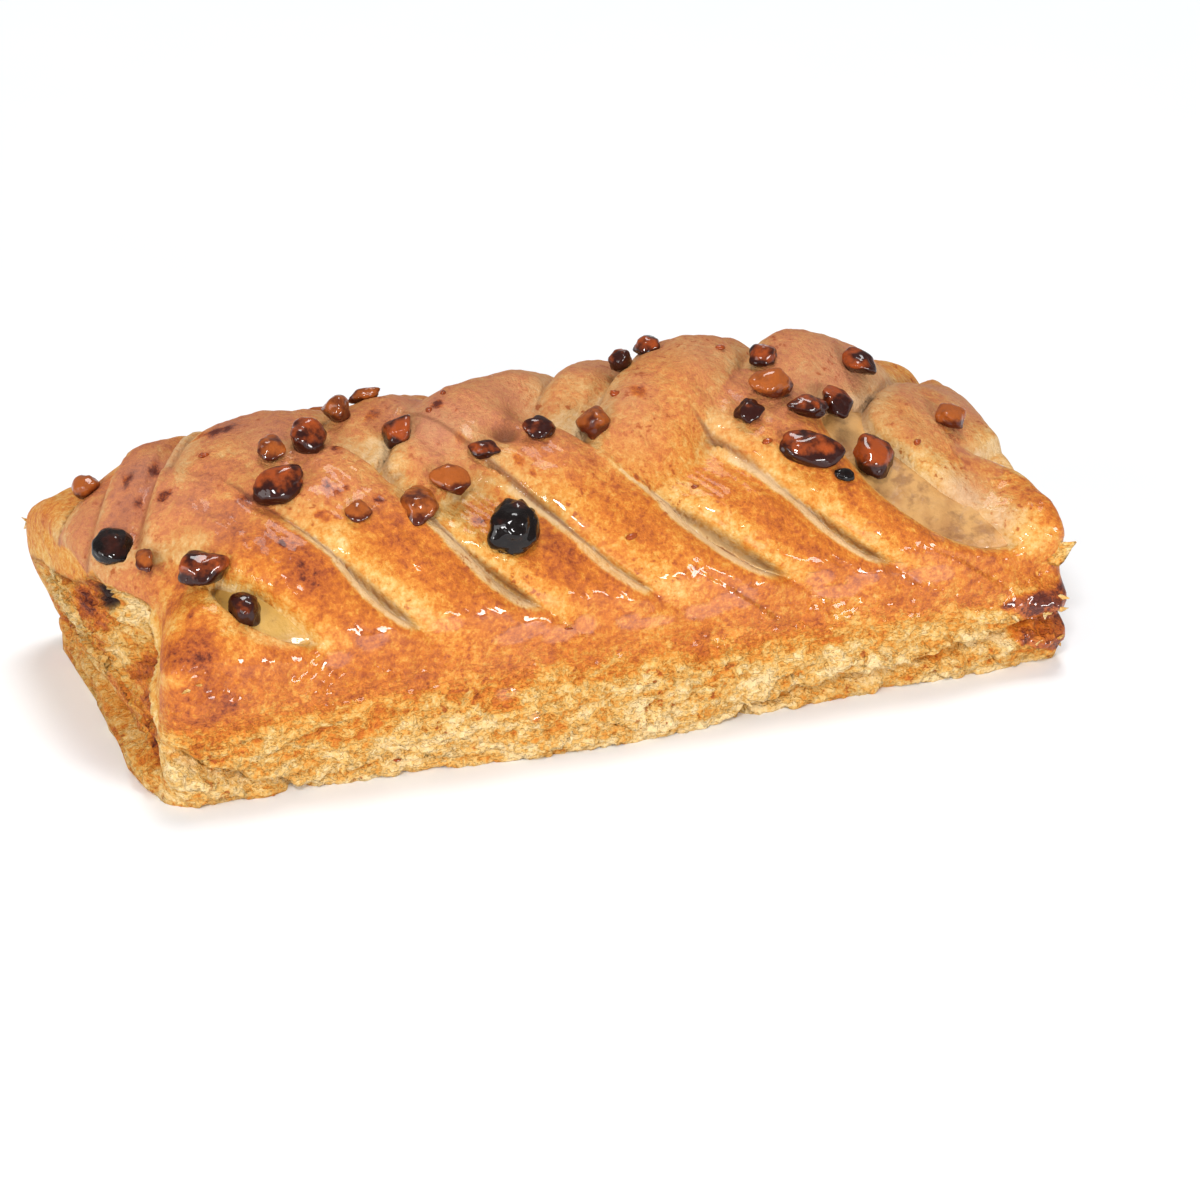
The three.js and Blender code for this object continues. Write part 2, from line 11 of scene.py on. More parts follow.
import bpy
import numpy as np
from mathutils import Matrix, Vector


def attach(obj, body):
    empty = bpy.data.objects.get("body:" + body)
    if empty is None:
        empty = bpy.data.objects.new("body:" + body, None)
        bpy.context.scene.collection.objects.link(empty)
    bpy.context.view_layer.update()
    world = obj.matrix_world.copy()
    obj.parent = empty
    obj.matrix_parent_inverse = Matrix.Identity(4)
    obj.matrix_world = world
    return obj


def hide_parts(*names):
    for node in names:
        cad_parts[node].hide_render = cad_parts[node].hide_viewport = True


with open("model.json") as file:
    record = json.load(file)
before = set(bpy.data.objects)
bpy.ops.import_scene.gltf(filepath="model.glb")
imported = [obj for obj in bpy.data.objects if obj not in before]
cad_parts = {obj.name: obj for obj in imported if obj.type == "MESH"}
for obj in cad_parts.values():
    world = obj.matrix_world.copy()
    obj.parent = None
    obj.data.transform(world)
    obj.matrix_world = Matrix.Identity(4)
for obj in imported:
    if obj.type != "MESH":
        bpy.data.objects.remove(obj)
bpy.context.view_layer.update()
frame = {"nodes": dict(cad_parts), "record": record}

METRE = 0.001  # one millimetre in metres
CENTRED = np.array([0.2, -0.521, 0.0])  # moves the loaf over the frame's origin

# The loaf that the dough follows: the corners of its section and the handles of the curves between them
HALF_LENGTH = 66.0
FOOT_OUT, FOOT_UP = 25.5, 4.0
BELLY_OUT, BELLY_IN = 29.5, 0.5
SHOULDER_OUT, SHOULDER_IN, SHOULDER_HEIGHT = 26.5, 1.9, 21.0
SHOULDER_DOWN, SHOULDER_UP = 6.0, 4.5
RIDGE_HEIGHT, RIDGE_OUT = 40.0, 12.0
# How the section changes along the braid: FROM is the x where a change starts, RUN how long it takes
SHOULDER_FALL, SHOULDER_FROM, SHOULDER_RUN = 2.5, -10.0, 70.0
RIDGE_LOST_LEFT, RIDGE_LOST_RIGHT, RIDGE_FROM, RIDGE_RUN = 0.26, 0.42, 30.0, 44.0
BACK_FLARE, FLARE_FROM, FLARE_RUN = 0.12, -30.0, -36.0
# The bulge of the front hem: millimetres, its middle and spread along the braid, and where it starts in q
HEM_REACH, HEM_AT, HEM_SPREAD, HEM_STARTS, HEM_GROWS = 4.0, -3.0, 24.0, 1.35, 0.6
# The ends: the left lip's reach and droop, the rounding of the rims above and of the corners below
LIP_REACH, DROOP = 4.0, 3.0
END_ROUNDING, LEFT_CORNER, RIGHT_CORNER = 2.5, 4.5, 3.0
LEFT_FRONT_CUT = 1.5  # how much further the roof is rounded at the front corner of the left end
LEFT_DENT = 4.0  # how far that corner is pressed in
END_MIDDLE_HEIGHT = 12.0  # where the end faces draw together

# Strips of dough, from slit to slit: foot is x at the shoulder, lean how far the slit runs to the left on
# its way to the ridge, gap its widest opening, top the q where it has closed, floor the relief of its
# edges; crown is the height of the strip to the right of it, tip the q where that strip ends and tuck how
# far its tip is pressed under the next strip.
Slit = namedtuple("Slit", "foot lean gap top floor crown tip tuck")
FRONT_SLITS = [
    Slit(-72.0, 24, 0.0, 0.50, -0.9, 1.2, -0.06, 0.0),
    Slit(-45.0, 24, 6.5, 0.45, 0.0, 2.5, -0.24, 0.0),
    Slit(-30.0, 23, 1.2, 0.60, 0.3, 2.7, -0.06, 0.0),
    Slit(-12.5, 25, 1.2, 0.60, 0.3, 2.3, 0.26, 2.2),
    Slit(3.5, 26, 0.8, 0.70, 0.8, 2.6, -0.24, 0.0),
    Slit(23.0, 33, 2.6, 0.58, -0.5, 2.6, 0.26, 2.2),
    Slit(39.0, 31, 1.2, 0.65, 0.3, 2.9, -0.06, 0.0),
    Slit(57.0, 28, 11.5, 0.25, -0.9, 2.2, 0.26, 0.0),
    Slit(80.0, 26, 0.0, 0.50, -0.9, 0.0, 0.0, 0.0),
]
BACK_SLITS = [
    Slit(-66.0, 26, 0.0, 0.50, -1.4, 1.2, -0.54, 0.0),
    Slit(-46.0, 26, 1.6, 0.55, -1.4, 1.6, -0.26, 2.2),
    Slit(-29.5, 26, 2.2, 0.50, -1.4, 2.2, -0.50, 0.0),
    Slit(-9.5, 26, 1.4, 0.60, -1.4, 1.9, -0.26, 2.2),
    Slit(4.0, 26, 2.4, 0.45, -1.4, 2.5, -0.42, 0.0),
    Slit(23.0, 26, 1.6, 0.55, -1.4, 2.4, -0.26, 2.2),
    Slit(33.5, 26, 2.0, 0.50, -1.4, 3.8, -0.54, 0.0),
    Slit(53.5, 26, 1.8, 0.55, -1.4, 4.8, -0.26, 2.2),
    Slit(75.0, 26, 1.2, 0.55, -1.4, 2.8, -0.40, 0.0),
    Slit(95.0, 26, 0.0, 0.50, -1.4, 0.0, 0.0, 0.0),
]
FRONT, BACK = -1, 1
STRIP_START, STRIP_RISEN = 1.3, 0.86  # a strip leaves the wall and has its full height
STEEP_FLANK, GENTLE_FLANK = (2.8, 0.55), (2.4, 0.7)  # powers of a strip's left and right flank
EDGE_FALL, TIP_FALL = 2.2, 60.0  # how fast it drops beyond its edges, per millimetre, and its tip, per q
SLIT_FOOT = 1.02
OVERLAP = 0.4
CREASE_FILL = 0.3  # how far the creases between the strips of one side are filled
SOFT_JOIN = 1.3  # and those where the front and the back strips meet
LINE_WIDTH = 0.42  # of the shaded lines along the creases
WIDE_GAP = 4.0  # slits that open wider than this have no such line
TIP_ROUNDING = 0.26
SLIT_FLOOR = -3.6  # below the filling
GRID_LEAN, DOUGH_LEAN, BANK_LEAN = 13.0, 26.0, 28.0  # how far grid, grain and banks lean with the slits

# Soft oval patches are given as x, q, radius along, radius in q, and millimetres or a strength.
# Dents: the bowl of the right-hand slit, a hollow on the ridge, and the seat of the left end's nut
DENTS = [(56.0, -0.62, 6.5, 0.24, 2.6), (-6.0, -0.06, 3.4, 0.12, 2.6), (-62.0, -0.05, 4.5, 0.17, 1.5)]
# Cracks between the strips on the ridge, pressed in and darkened with painted shade
CRACKS = [(-10.8, -0.21, 2.6, 0.05, 2.0), (17.5, -0.36, 2.4, 0.04, 1.0), (-27.5, -0.30, 2.4, 0.04, 1.0)]
# Humps of the dough: the rim of the right end, and the ridge near the left one
HUMPS = [(64.5, -0.24, 4.5, 0.16, 2.2), (-50.0, 0.25, 7.0, 0.30, 1.2)]
# Folds of the left end, each lying over the next one to its left: x on the ridge, how far the line runs
# along the braid per q, the q of its lower end, height
FOLDS = [(-57.3, 25.0, -0.26, 1.7), (-65.0, 26.0, -0.12, 1.5)]

# Grid of the crust, fine enough that a step is about two pixels of the photograph
WALL_ROWS, ROOF_ROWS, BACK_ROOF_ROWS, BACK_WALL_ROWS, BOTTOM_ROWS = 56, 82, 36, 28, 6
BODY_COLUMNS, ROUNDED_COLUMNS, END_COLUMNS = 372, 12, 32
SHUFFLE = 43758.5453  # multiplies the draws' sines, so that neighbours draw unlike numbers


def ease(t):
    """Smooth step from 0 to 1 as t goes from 0 to 1: three t squared less two t cubed."""
    s = np.clip(t, 0.0, 1.0)
    return s * s * (3.0 - 2.0 * s)


def spot(t):
    """A round hump: 1 where t is 0, falling off as the bell curve of t."""
    return np.exp(-t * t)


def bezier(a, b, c, d, t):
    """Cubic Bezier curve of four numbers: they are weighted by the powers of t and of one less t."""
    s = 1.0 - t
    return s * s * s * a + 3.0 * s * s * t * b + 3.0 * s * t * t * c + t * t * t * d


def smooth_max(a, b, width):
    """The larger of a and b, with the corner between them filled where they differ by less than width."""
    near = np.clip(width - np.abs(a - b), 0.0, None) / width
    return np.maximum(a, b) + 0.25 * width * near * near


def draw(index, seed):
    """A repeatable number from 0 to 1: the broken part of a large multiple of a sine."""
    wave = np.sin(index * 12.9898 + seed * 78.233) * SHUFFLE
    return wave - np.floor(wave)


def lattice(ix, iy, iz, seed):
    """A repeatable number from 0 to 1 for every corner of a lattice, drawn in the same way."""
    wave = np.sin(ix * 127.1 + iy * 311.7 + iz * 74.7 + seed * 53.3) * SHUFFLE
    return wave - np.floor(wave)


def noise(points, size, seed):
    """Smooth noise from -1 to 1: lattice numbers, blended by smooth steps along the three axes."""
    scaled = points / size
    corner = np.floor(scaled)
    blend = ease(scaled - corner)
    total = 0.0
    for dx in (0, 1):
        for dy in (0, 1):
            for dz in (0, 1):
                step = np.array([dx, dy, dz])
                weight = np.prod(np.where(step == 1, blend, 1.0 - blend), axis=-1)
                at = corner + step
                total = total + weight * lattice(at[..., 0], at[..., 1], at[..., 2], seed)
    return 2.0 * total - 1.0


def layered_noise(points, size, layers, seed):
    """Noise of halving size and strength, added up."""
    total = 0.0
    for layer in range(layers):
        total = total + noise(points, size / 2.0**layer, seed + layer) / 2.0**layer
    return total


def plates(u, v, seed):
    """Irregular plates: for every place the nearest of one jittered centre per unit square.

    Gives the plate's own number from 0 to 1, the place's offset along v from the plate's centre, and how
    much nearer that centre is than the next one, which is 0 along the plates' edges.
    """
    cell_u, cell_v = np.floor(u), np.floor(v)
    nearest = np.full(u.shape, 9.0)
    second = np.full(u.shape, 9.0)
    number = np.zeros(u.shape)
    offset = np.zeros(u.shape)
    for du in (-1, 0, 1):
        for dv in (-1, 0, 1):
            cu, cv = cell_u + du, cell_v + dv
            to_u = u - cu - lattice(cu, cv, 0.0, seed)
            to_v = v - cv - lattice(cu, cv, 1.0, seed)
            distance = np.hypot(to_u, to_v)
            closer = distance < nearest
            second = np.where(closer, nearest, np.minimum(second, distance))
            number = np.where(closer, lattice(cu, cv, 2.0, seed), number)
            offset = np.where(closer, to_v, offset)
            nearest = np.where(closer, distance, nearest)
    return number, offset, second - nearest


def towards(x, start, run):
    """How far a change along the braid has gone: a smooth step from start, to the left if run < 0."""
    return ease((x - start) / run)


def patches(x, q, places):
    """The strongest of several soft oval patches, each the bell curve of the way from its middle."""
    total = np.zeros(x.shape)
    for x0, q0, along, across, strength in places:
        total = np.maximum(total, strength * spot(np.hypot((x - x0) / along, (q - q0) / across)))
    return total


def shoulder_height(x):
    """Height of the shoulder: level, then falling to the right end by a smooth step."""
    return SHOULDER_HEIGHT - SHOULDER_FALL * towards(x, SHOULDER_FROM, SHOULDER_RUN)


def ridge_height(x):
    """Height of the ridge: level in the middle, then a share lost by a smooth step to either end."""
    lost_right = RIDGE_LOST_RIGHT * towards(x, RIDGE_FROM, RIDGE_RUN)
    lost_left = RIDGE_LOST_LEFT * towards(x, -RIDGE_FROM, -RIDGE_RUN)
    return RIDGE_HEIGHT * (1.0 - lost_right - lost_left)


def section(x, q):
    """The loaf's outline across the braid, two Bezier curves: a bellied wall and the dome above it."""
    w = np.abs(q)
    up, inward = np.clip(2.0 - w, 0.0, 1.0), np.clip(1.0 - w, 0.0, 1.0)
    shoulder, ridge = shoulder_height(x), ridge_height(x)
    wall_out = bezier(FOOT_OUT, BELLY_OUT, BELLY_OUT - BELLY_IN, SHOULDER_OUT, up)
    wall_z = bezier(0.0, FOOT_UP, shoulder - SHOULDER_DOWN, shoulder, up)
    roof_out = bezier(SHOULDER_OUT, SHOULDER_OUT - SHOULDER_IN, RIDGE_OUT, 0.0, inward)
    roof_z = bezier(shoulder, shoulder + SHOULDER_UP, ridge, ridge, inward)
    out = np.where(w > 1.0, wall_out, roof_out)
    z = np.where(w > 1.0, wall_z, roof_z)
    reach = HEM_REACH * spot((x - HEM_AT) / HEM_SPREAD) * ease((w - HEM_STARTS) / HEM_GROWS)
    flare = 1.0 + BACK_FLARE * towards(x, FLARE_FROM, FLARE_RUN)
    return np.where(q < 0.0, -out - reach, out * flare), z


def section_normal(x, q):
    """The outline's outward normal: its tangent, by a small difference in q, turned a quarter."""
    step = 1e-3
    y0, z0 = section(x, q - step)
    y1, z1 = section(x, q + step)
    ny, nz = z0 - z1, y1 - y0
    length = np.hypot(ny, nz)
    return ny / length, nz / length


def crust_points(x, q, relief):
    """Points on the loaf's outline, moved out along its normal by the relief."""
    y, z = section(x, q)
    ny, nz = section_normal(x, q)
    return np.stack([x + 0.0 * q, y + ny * relief, z + nz * relief], axis=-1)


def sagged(points):
    """The left end of the roof run out over the back corner and let down, and its front corner dented.

    Each move is its reach times smooth steps along x, y and z; the dent is a bell curve across.
    """
    x, y, z = points[..., 0], points[..., 1], points[..., 2]
    outward = towards(x, -44.0, -22.0) * ease((y + 24.0) / 36.0) * ease((z - 3.0) / 14.0)
    down = towards(x, -54.0, -14.0) * ease((z - 14.0) / 14.0)
    dented = towards(x, -50.0, -16.0) * spot((y + 14.0) / 7.0) * ease((z - 10.0) / 10.0)
    return np.stack([x - LIP_REACH * outward + LEFT_DENT * dented, y, z - DROOP * down], axis=-1)


def slit_line(slit, along):
    """x of a slit's line, along being q counted from the ridge to this side."""
    return slit.foot - slit.lean * (1.0 - along)


def slit_half_gap(slit, along):
    """Half a slit's opening: the square root of a sine lens between its two ends, less the overlap."""
    t = np.clip((along - slit.top) / (SLIT_FOOT - slit.top), 0.0, 1.0)
    lens = np.sqrt(np.sin(np.pi * t).clip(0.0))
    return (0.5 * slit.gap + OVERLAP) * lens - OVERLAP


def flank(inside, powers):
    """A pillow's height from 1 to 0 as inside goes from 0 to 1: a power of one less a power of inside."""
    inner, outer = powers
    return (1.0 - inside**inner) ** outer


def strip_relief(left, right, side, x, q):
    """One strip's upper face: a pillow between its slits that rises out of the wall and ends in a tip.

    The pillow is steep on its left edge and slopes away gently on its right one. Beyond its edges the
    relief falls steeply, so that the strips' common maximum makes the creases. Also gives the place across
    the strip, from -1 to 1, and a thin line of painted shade along its left edge.
    """
    along = side * q
    tip = side * left.tip
    to_tip = side * (q - tip)
    low = slit_line(left, along) + slit_half_gap(left, along)
    high = slit_line(right, along) - slit_half_gap(right, along)
    rounded = np.clip(1.0 - np.clip(to_tip, 0.0, None) / TIP_ROUNDING, 0.0, 0.98)
    half = np.clip(0.5 * (high - low) * np.sqrt(1.0 - rounded * rounded), 0.05, None)
    c = (x - 0.5 * (low + high)) / half
    inside = np.clip(np.abs(c), 0.0, 1.0)
    pillow = np.where(c < 0.0, flank(inside, STEEP_FLANK), flank(inside, GENTLE_FLANK))
    risen = ease((STRIP_START - along) / (STRIP_START - STRIP_RISEN))
    dip = 0.3 * ease((0.7 - along) / 0.5) if side == FRONT else 0.0
    flat = 0.2 + 0.8 * ease(to_tip / 0.55)
    tucked = left.tuck * ease((0.4 - to_tip) / 0.3)
    crown = left.crown * (1.0 - dip) * flat - tucked
    floor = np.where(c < 0.0, left.floor, right.floor)
    relief = floor + (crown - floor) * pillow * risen
    beyond = np.clip(np.abs(c) - 1.0, 0.0, None) * half
    relief = relief - EDGE_FALL * beyond - TIP_FALL * np.clip(-to_tip, 0.0, None)
    elsewhere = (along > STRIP_START) | (to_tip < -TIP_ROUNDING)
    edge = spot((c + 1.0) * half / LINE_WIDTH + 0.3) * (left.gap < WIDE_GAP)
    edge = edge * ease((1.0 - along) / 0.1) * ease((to_tip - 0.1) / 0.15)
    return np.where(elsewhere, SLIT_FLOOR, relief), np.clip(c, -1.0, 1.0), edge


Braid = namedtuple("Braid", "relief across height side crease")


def braid(x, q):
    """The crust without its fine relief: the strips' smooth maximum over the walls and the slits' floor.

    Gives the relief, the place across the strip on top, that strip's own relief, the side it comes from,
    and the creases for painted shade: 1 along the edge where a strip lies over the next one.
    """
    w = np.abs(q)
    floor = SLIT_FLOOR * (1.0 - ease((w - 0.95) / 0.1)) + 0.0 * x
    best = np.full(floor.shape, SLIT_FLOOR)
    across = np.zeros(floor.shape)
    side_of = np.zeros(floor.shape)
    merged, lines = {}, []
    for slits, side, strength in ((FRONT_SLITS, FRONT, 1.0), (BACK_SLITS, BACK, 0.8)):
        merged[side] = floor
        for left, right in zip(slits, slits[1:]):
            height, c, edge = strip_relief(left, right, side, x, q)
            merged[side] = smooth_max(merged[side], height, CREASE_FILL)
            lines.append((height, strength * edge))
            top = height > best
            best = np.where(top, height, best)
            across = np.where(top, c, across)
            side_of = np.where(top, side, side_of)
    # Painted shade along the creases, where a strip's left edge lies over the next one.
    crease = np.max([edge * ease((height - best + 2.0) / 1.0) for height, edge in lines], axis=0)
    return Braid(smooth_max(merged[FRONT], merged[BACK], SOFT_JOIN), across, best, side_of, crease)


# Height of the front sheet's lower edge over the table, along the braid, and of the back one's
HEM_X = [-66.0, -60.0, -52.0, -45.0, 12.0, 20.0, 30.0, 42.0, 57.0, 66.0]
HEM_Z = [10.0, 6.0, 3.0, 0.0, 0.0, 2.5, 3.8, 4.1, 7.0, 7.0]
BACK_HEM = 4.4
# Flaky plates of the walls and of the ends: width and height of their cells
LARGE_PLATES, SMALL_PLATES, END_PLATES = (5.5, 2.1), (2.0, 0.9), (4.5, 1.5)
BACK_SHIFT = 20.0  # moves the pattern of the back wall, so that it isn't the front's


def hem_height(x, q):
    """The hem over the bottom sheet: the front's own line, and two added sine waves along the back."""
    back = BACK_HEM + 0.9 * np.sin(x / 9.0) + 0.6 * np.sin(x / 3.7 + 1.0)
    return np.where(q < 0.0, np.interp(x, HEM_X, HEM_Z), back)


Flaky = namedtuple("Flaky", "relief large small below")


def flaky_wall(points, x, q):
    """Relief of the walls: the hem's step over the bottom sheet, and two sizes of tilted flaky plates."""
    w = np.abs(q)
    z = points[..., 2]
    wall = ease((w - 1.1) / 0.2)
    low = ease((w - 1.25) / 0.4)
    ragged = hem_height(x, q) + 0.9 * noise(points, 3.0, 41) + 0.5 * noise(points, 1.1, 42)
    below = ragged - z
    gap = -2.3 * spot((below - 0.7) / 0.8) * ease(hem_height(x, q) / 1.5)
    sheet = 0.9 * ease((below - 1.2) / 1.0)
    lifted = 0.5 * spot((below + 0.7) / 0.8)
    warp = 1.2 * noise(points, 6.0, 43)
    height = z + BACK_SHIFT * (q > 0.0)
    wide, high = LARGE_PLATES
    large, tilt_large, edge_large = plates(x / wide + 0.3 * warp, height / high + warp, 44)
    wide, high = SMALL_PLATES
    small, tilt_small, edge_small = plates(x / wide + 0.5 * warp, height / high + warp, 45)
    scales = 0.7 * (large - 0.5) - 0.5 * tilt_large + 0.3 * (small - 0.5) - 0.2 * tilt_small
    cracks = -0.3 * spot(edge_large / 0.08) - 0.15 * spot(edge_small / 0.12)
    relief = wall * (gap + sheet + lifted) + low * (scales + cracks)
    return Flaky(relief, large, small, below)


Folds = namedtuple("Folds", "relief line rim")


def end_folds(x, q):
    """The left end's folds: a rounded step to the right of each line, a groove to its left.

    Also gives a line of painted shade along the groove and a pale rim along the step, a painted highlight.
    """
    relief, line, rim = 0.0, 0.0, 0.0
    for ridge_x, lean, low, height in FOLDS:
        beyond = x - ridge_x - lean * q
        there = ease((q - low) / 0.12) * ease((0.6 - q) / 0.3)
        step = ease((beyond + 0.4) / 1.2) * spot(np.clip(beyond, 0.0, None) / 7.0)
        relief = relief + there * height * (step - 0.5 * spot((beyond + 0.8) / 0.9))
        line = np.maximum(line, there * spot((beyond + 0.5) / 0.4))
        # The pale rim is a painted highlight along the step.
        rim = np.maximum(rim, there * spot((beyond - 0.6) / 0.6))
    return Folds(relief, line, rim)


Crust = namedtuple("Crust", "smooth relief braid flaky pool folds")


def right_lips(points, x):
    """The walls near the right end: two bulging lips, a notch between them and a waist above.

    Each is a bell curve of the height over the table.
    """
    z = points[..., 2] + 0.5 * noise(points, 4.0, 46)
    lips = 1.3 * spot((z - 10.2) / 1.7) + 0.6 * spot((z - 5.0) / 1.4)
    notch = 1.8 * spot((z - 7.7) / 0.9)
    waist = 1.2 * spot((z - 14.5) / 2.4)
    return towards(x, 55.0, 8.0) * (lips - notch - waist)


def crust_relief(x, q):
    """All of the crust's relief but its rounded ends, added up.

    Strips, flaky walls, dents, humps and folds come first, then soft swellings and fine grain, which the
    syrup pools smooth over.
    """
    smooth = crust_points(x, q, 0.0)
    strips = braid(x, q)
    wall = flaky_wall(smooth, x, q)
    w = np.abs(q)
    roof = 1.0 - ease((w - 1.0) / 0.25)
    pool = syrup_pools(smooth, strips, x, q)
    swell = 0.45 * layered_noise(smooth, 10.0, 2, 11)
    swell = swell + 0.22 * layered_noise(smooth, 4.0, 2, 14) * (1.0 - 0.7 * pool)
    u = x + DOUGH_LEAN * (1.0 - np.minimum(w, 1.0))
    stretch = np.stack([u, 5.0 * q, 0.0 * u], axis=-1)
    drawn = 0.12 * roof * layered_noise(stretch, 1.6, 2, 15)
    rough = (0.22 - 0.14 * roof) * layered_noise(smooth, 1.1, 2, 13)
    pressed = patches(x, q, DENTS) + patches(x, q, CRACKS)
    raised = patches(x, q, HUMPS) + 0.16 * patches(x, q, SYRUP)
    folds = end_folds(x, q)
    ends = right_lips(smooth, x) + folds.relief
    fine = (drawn + rough) * (1.0 - 0.9 * pool)
    relief = strips.relief - pressed + raised + wall.relief + ends + swell + fine
    return Crust(smooth, relief, strips, wall, pool, folds)


def leaned(x, q):
    """Grid columns leaned like the slits: to the right at the shoulders, to the left on the ridge."""
    free = np.clip((HALF_LENGTH - np.abs(x)) / 40.0, 0.0, 1.0)
    return x + GRID_LEAN * (2.0 * np.minimum(np.abs(q), 1.0) - 1.0) * free


def end_rounding(x, q):
    """How far the outline shrinks towards the ends: a quarter circle, wide below and tight above."""
    wide = np.where(x < 0.0, LEFT_CORNER, RIGHT_CORNER) - END_ROUNDING
    corner = END_ROUNDING + wide * ease((np.abs(q) - 0.95) / 0.25)
    corner = corner + LEFT_FRONT_CUT * (x < 0.0) * ease((-0.25 - q) / 0.3) * ease((q + 1.05) / 0.25)
    over = np.clip((np.abs(x) - HALF_LENGTH + corner) / corner, 0.0, 1.0)
    return corner * (1.0 - np.sqrt(1.0 - over * over))


def crust_surface():
    """The whole crust as one closed grid: rings round the loaf, drawn together over both ends.

    Rows run from the front foot over the ridge to the back foot and home along the bottom. Columns run
    from the middle of the left end out to its rim, along the loaf, and in again at the right end.
    """
    q_rows = np.concatenate(
        [
            np.linspace(-2.0, -1.0, WALL_ROWS, endpoint=False),
            np.linspace(-1.0, 0.0, ROOF_ROWS, endpoint=False),
            np.linspace(0.0, 1.0, BACK_ROOF_ROWS, endpoint=False),
            np.linspace(1.0, 2.0, BACK_WALL_ROWS),
        ]
    )
    inner = HALF_LENGTH - END_ROUNDING
    x_columns = np.concatenate(
        [
            np.linspace(-HALF_LENGTH, -inner, ROUNDED_COLUMNS, endpoint=False),
            np.linspace(-inner, inner, BODY_COLUMNS, endpoint=False),
            np.linspace(inner, HALF_LENGTH, ROUNDED_COLUMNS),
        ]
    )
    q, x = np.meshgrid(q_rows, x_columns, indexing="ij")
    x = leaned(x, q)
    crust = crust_relief(x, q)
    relief = crust.relief - end_rounding(x, q)
    body = crust_points(x, q, relief)
    body[..., 2] = np.clip(body[..., 2], 0.0, None)
    body[0, :, 2] = 0.0
    body[-1, :, 2] = 0.0
    share = np.linspace(0.0, 1.0, BOTTOM_ROWS + 2)[1:-1, None, None]
    bottom = body[-1] * (1.0 - share) + body[0] * share
    body = np.concatenate([body, bottom])
    marks = {}
    for name, values in crust_marks(crust, x, q).items():
        marks[name] = np.concatenate([values, np.repeat(values[-1:], BOTTOM_ROWS, axis=0)])
    return join_ends(body, marks)


def join_ends(body, marks):
    """Adds the end faces: each is its rim drawn in towards a middle point, hollowed and flaked along x."""
    inward = np.linspace(1.0, 0.0, END_COLUMNS + 1, endpoint=False)[1:]
    faces, face_marks = [], []
    for rim, sign in ((body[:, 0], -1.0), (body[:, -1], 1.0)):
        middle = np.array([sign * HALF_LENGTH, 0.0, END_MIDDLE_HEIGHT])
        face = middle + (rim[:, None] - middle) * inward[None, :, None]
        depth, own_marks = end_hollow(face, sign, inward[None, :])
        face[..., 0] -= sign * depth
        faces.append(face)
        face_marks.append(own_marks)
    columns = np.concatenate([faces[0][:, ::-1], body, faces[1]], axis=1)
    left, right = face_marks
    joined = {}
    for name, values in marks.items():
        joined[name] = np.concatenate([left[name][:, ::-1], values, right[name]], axis=1)
    return columns, joined


# Patches of the left end face: y, z, radius across, radius up, how much browner or paler
LEFT_BROWN = [
    (-20.0, 7.0, 3.6, 3.0, 0.34),
    (-17.0, 11.0, 3.6, 3.4, 0.38),
    (-13.5, 15.0, 3.0, 3.0, 0.32),
    (1.5, 19.5, 4.4, 4.2, 0.46),
    (23.0, 2.5, 7.0, 3.0, 0.30),
    (-6.0, 8.0, 5.0, 2.0, 0.14),
]
LEFT_PALE = [(14.0, 14.0, 8.0, 4.0, 0.28), (-9.0, 24.0, 3.0, 3.0, 0.40), (-7.0, 16.0, 5.0, 2.4, 0.14)]
# The lower edge of the roof's lip on that face: y and z along it
LIP_Y = [-22.0, -9.8, -2.5, 5.5, 22.9, 30.0]
LIP_Z = [31.0, 29.6, 28.0, 22.7, 16.7, 14.0]
# The front sheet's raw edge on that face: z and y along it
RAW_Z = [4.0, 12.0, 16.0, 20.0, 28.0]
RAW_Y = [-25.0, -22.5, -17.5, -13.5, -11.5]
END_TONE = 0.41  # bake of the end faces, before their patches

EndFace = namedtuple("EndFace", "depth charred brown bare line")


def left_end(face):
    """The left end: how far it lies inside its rim, where it is browned and bare, and where shade is
    painted.

    The roof comes down to a lip and the front sheet round the corner to a raw edge. Between them lies a
    flatter panel with a torn hole, a reddish hollow and a crevice, and below it the bottom sheet's ledge.
    Panels are products of smooth steps; edges, lines and hollows are bell curves of the way to them. The
    hole is painted nearly black as shade, lines of painted shade lie behind the raw edge and under the lip,
    and the raw edge's pale band is a painted highlight.
    """
    y, z = face[..., 1], face[..., 2]
    wander = noise(face, 4.0, 60)
    lip = np.interp(y, LIP_Y, LIP_Z) + 0.8 * wander
    raw = np.interp(z, RAW_Z, RAW_Y) + 1.1 * noise(face, 2.6, 64)
    standing = ease((31.0 - z) / 2.0) * ease((z - 3.6) / 1.5)
    panel = ease((lip - z) / 0.8) * ease((y - raw) / 0.8) * ease((z - 3.6) / 1.0)
    sheet_edge = spot((y - raw + 0.7) / 0.8) * standing
    # The hole's darkness is painted shade: it goes out as the burnt mark, nearly black.
    hole = spot(np.hypot((y + 3.0 - 0.6 * wander) / 2.8, (z - 23.6) / 2.5) ** 4)
    torn = spot(np.hypot((y - 0.8 + wander) / 3.8, (z - 20.3) / 3.4) ** 2)
    crevice = spot(np.hypot((y + 9.6) / 2.6, (z - 23.6) / 3.0) ** 2)
    ledge = -1.8 * ease((4.0 - z) / 0.8) * ease((16.0 - y) / 30.0)
    groove = 1.2 * spot((z - 4.4 - 0.4 * np.sin(y / 4.0)) / 0.6)
    depth = 0.7 * panel - 0.7 * sheet_edge + 0.9 * hole + 0.5 * torn + 0.7 * crevice + ledge + groove
    # The raw edge's band is paled as a painted highlight.
    brown = panel * (0.04 + patches(y, z, LEFT_BROWN)) - patches(y, z, LEFT_PALE) - 0.2 * sheet_edge
    # Lines of painted shade: behind the raw edge and under the lip.
    behind = spot((y - raw - 0.9) / 0.7) * standing
    under = spot((lip - z - 0.6) / 0.6) * ease((y + 8.0) / 3.0)
    line = 0.8 * np.maximum(behind, 0.8 * under)
    bare = np.maximum(panel, ease((4.6 - z) / 1.0))
    return EndFace(depth, hole, brown, bare, line)


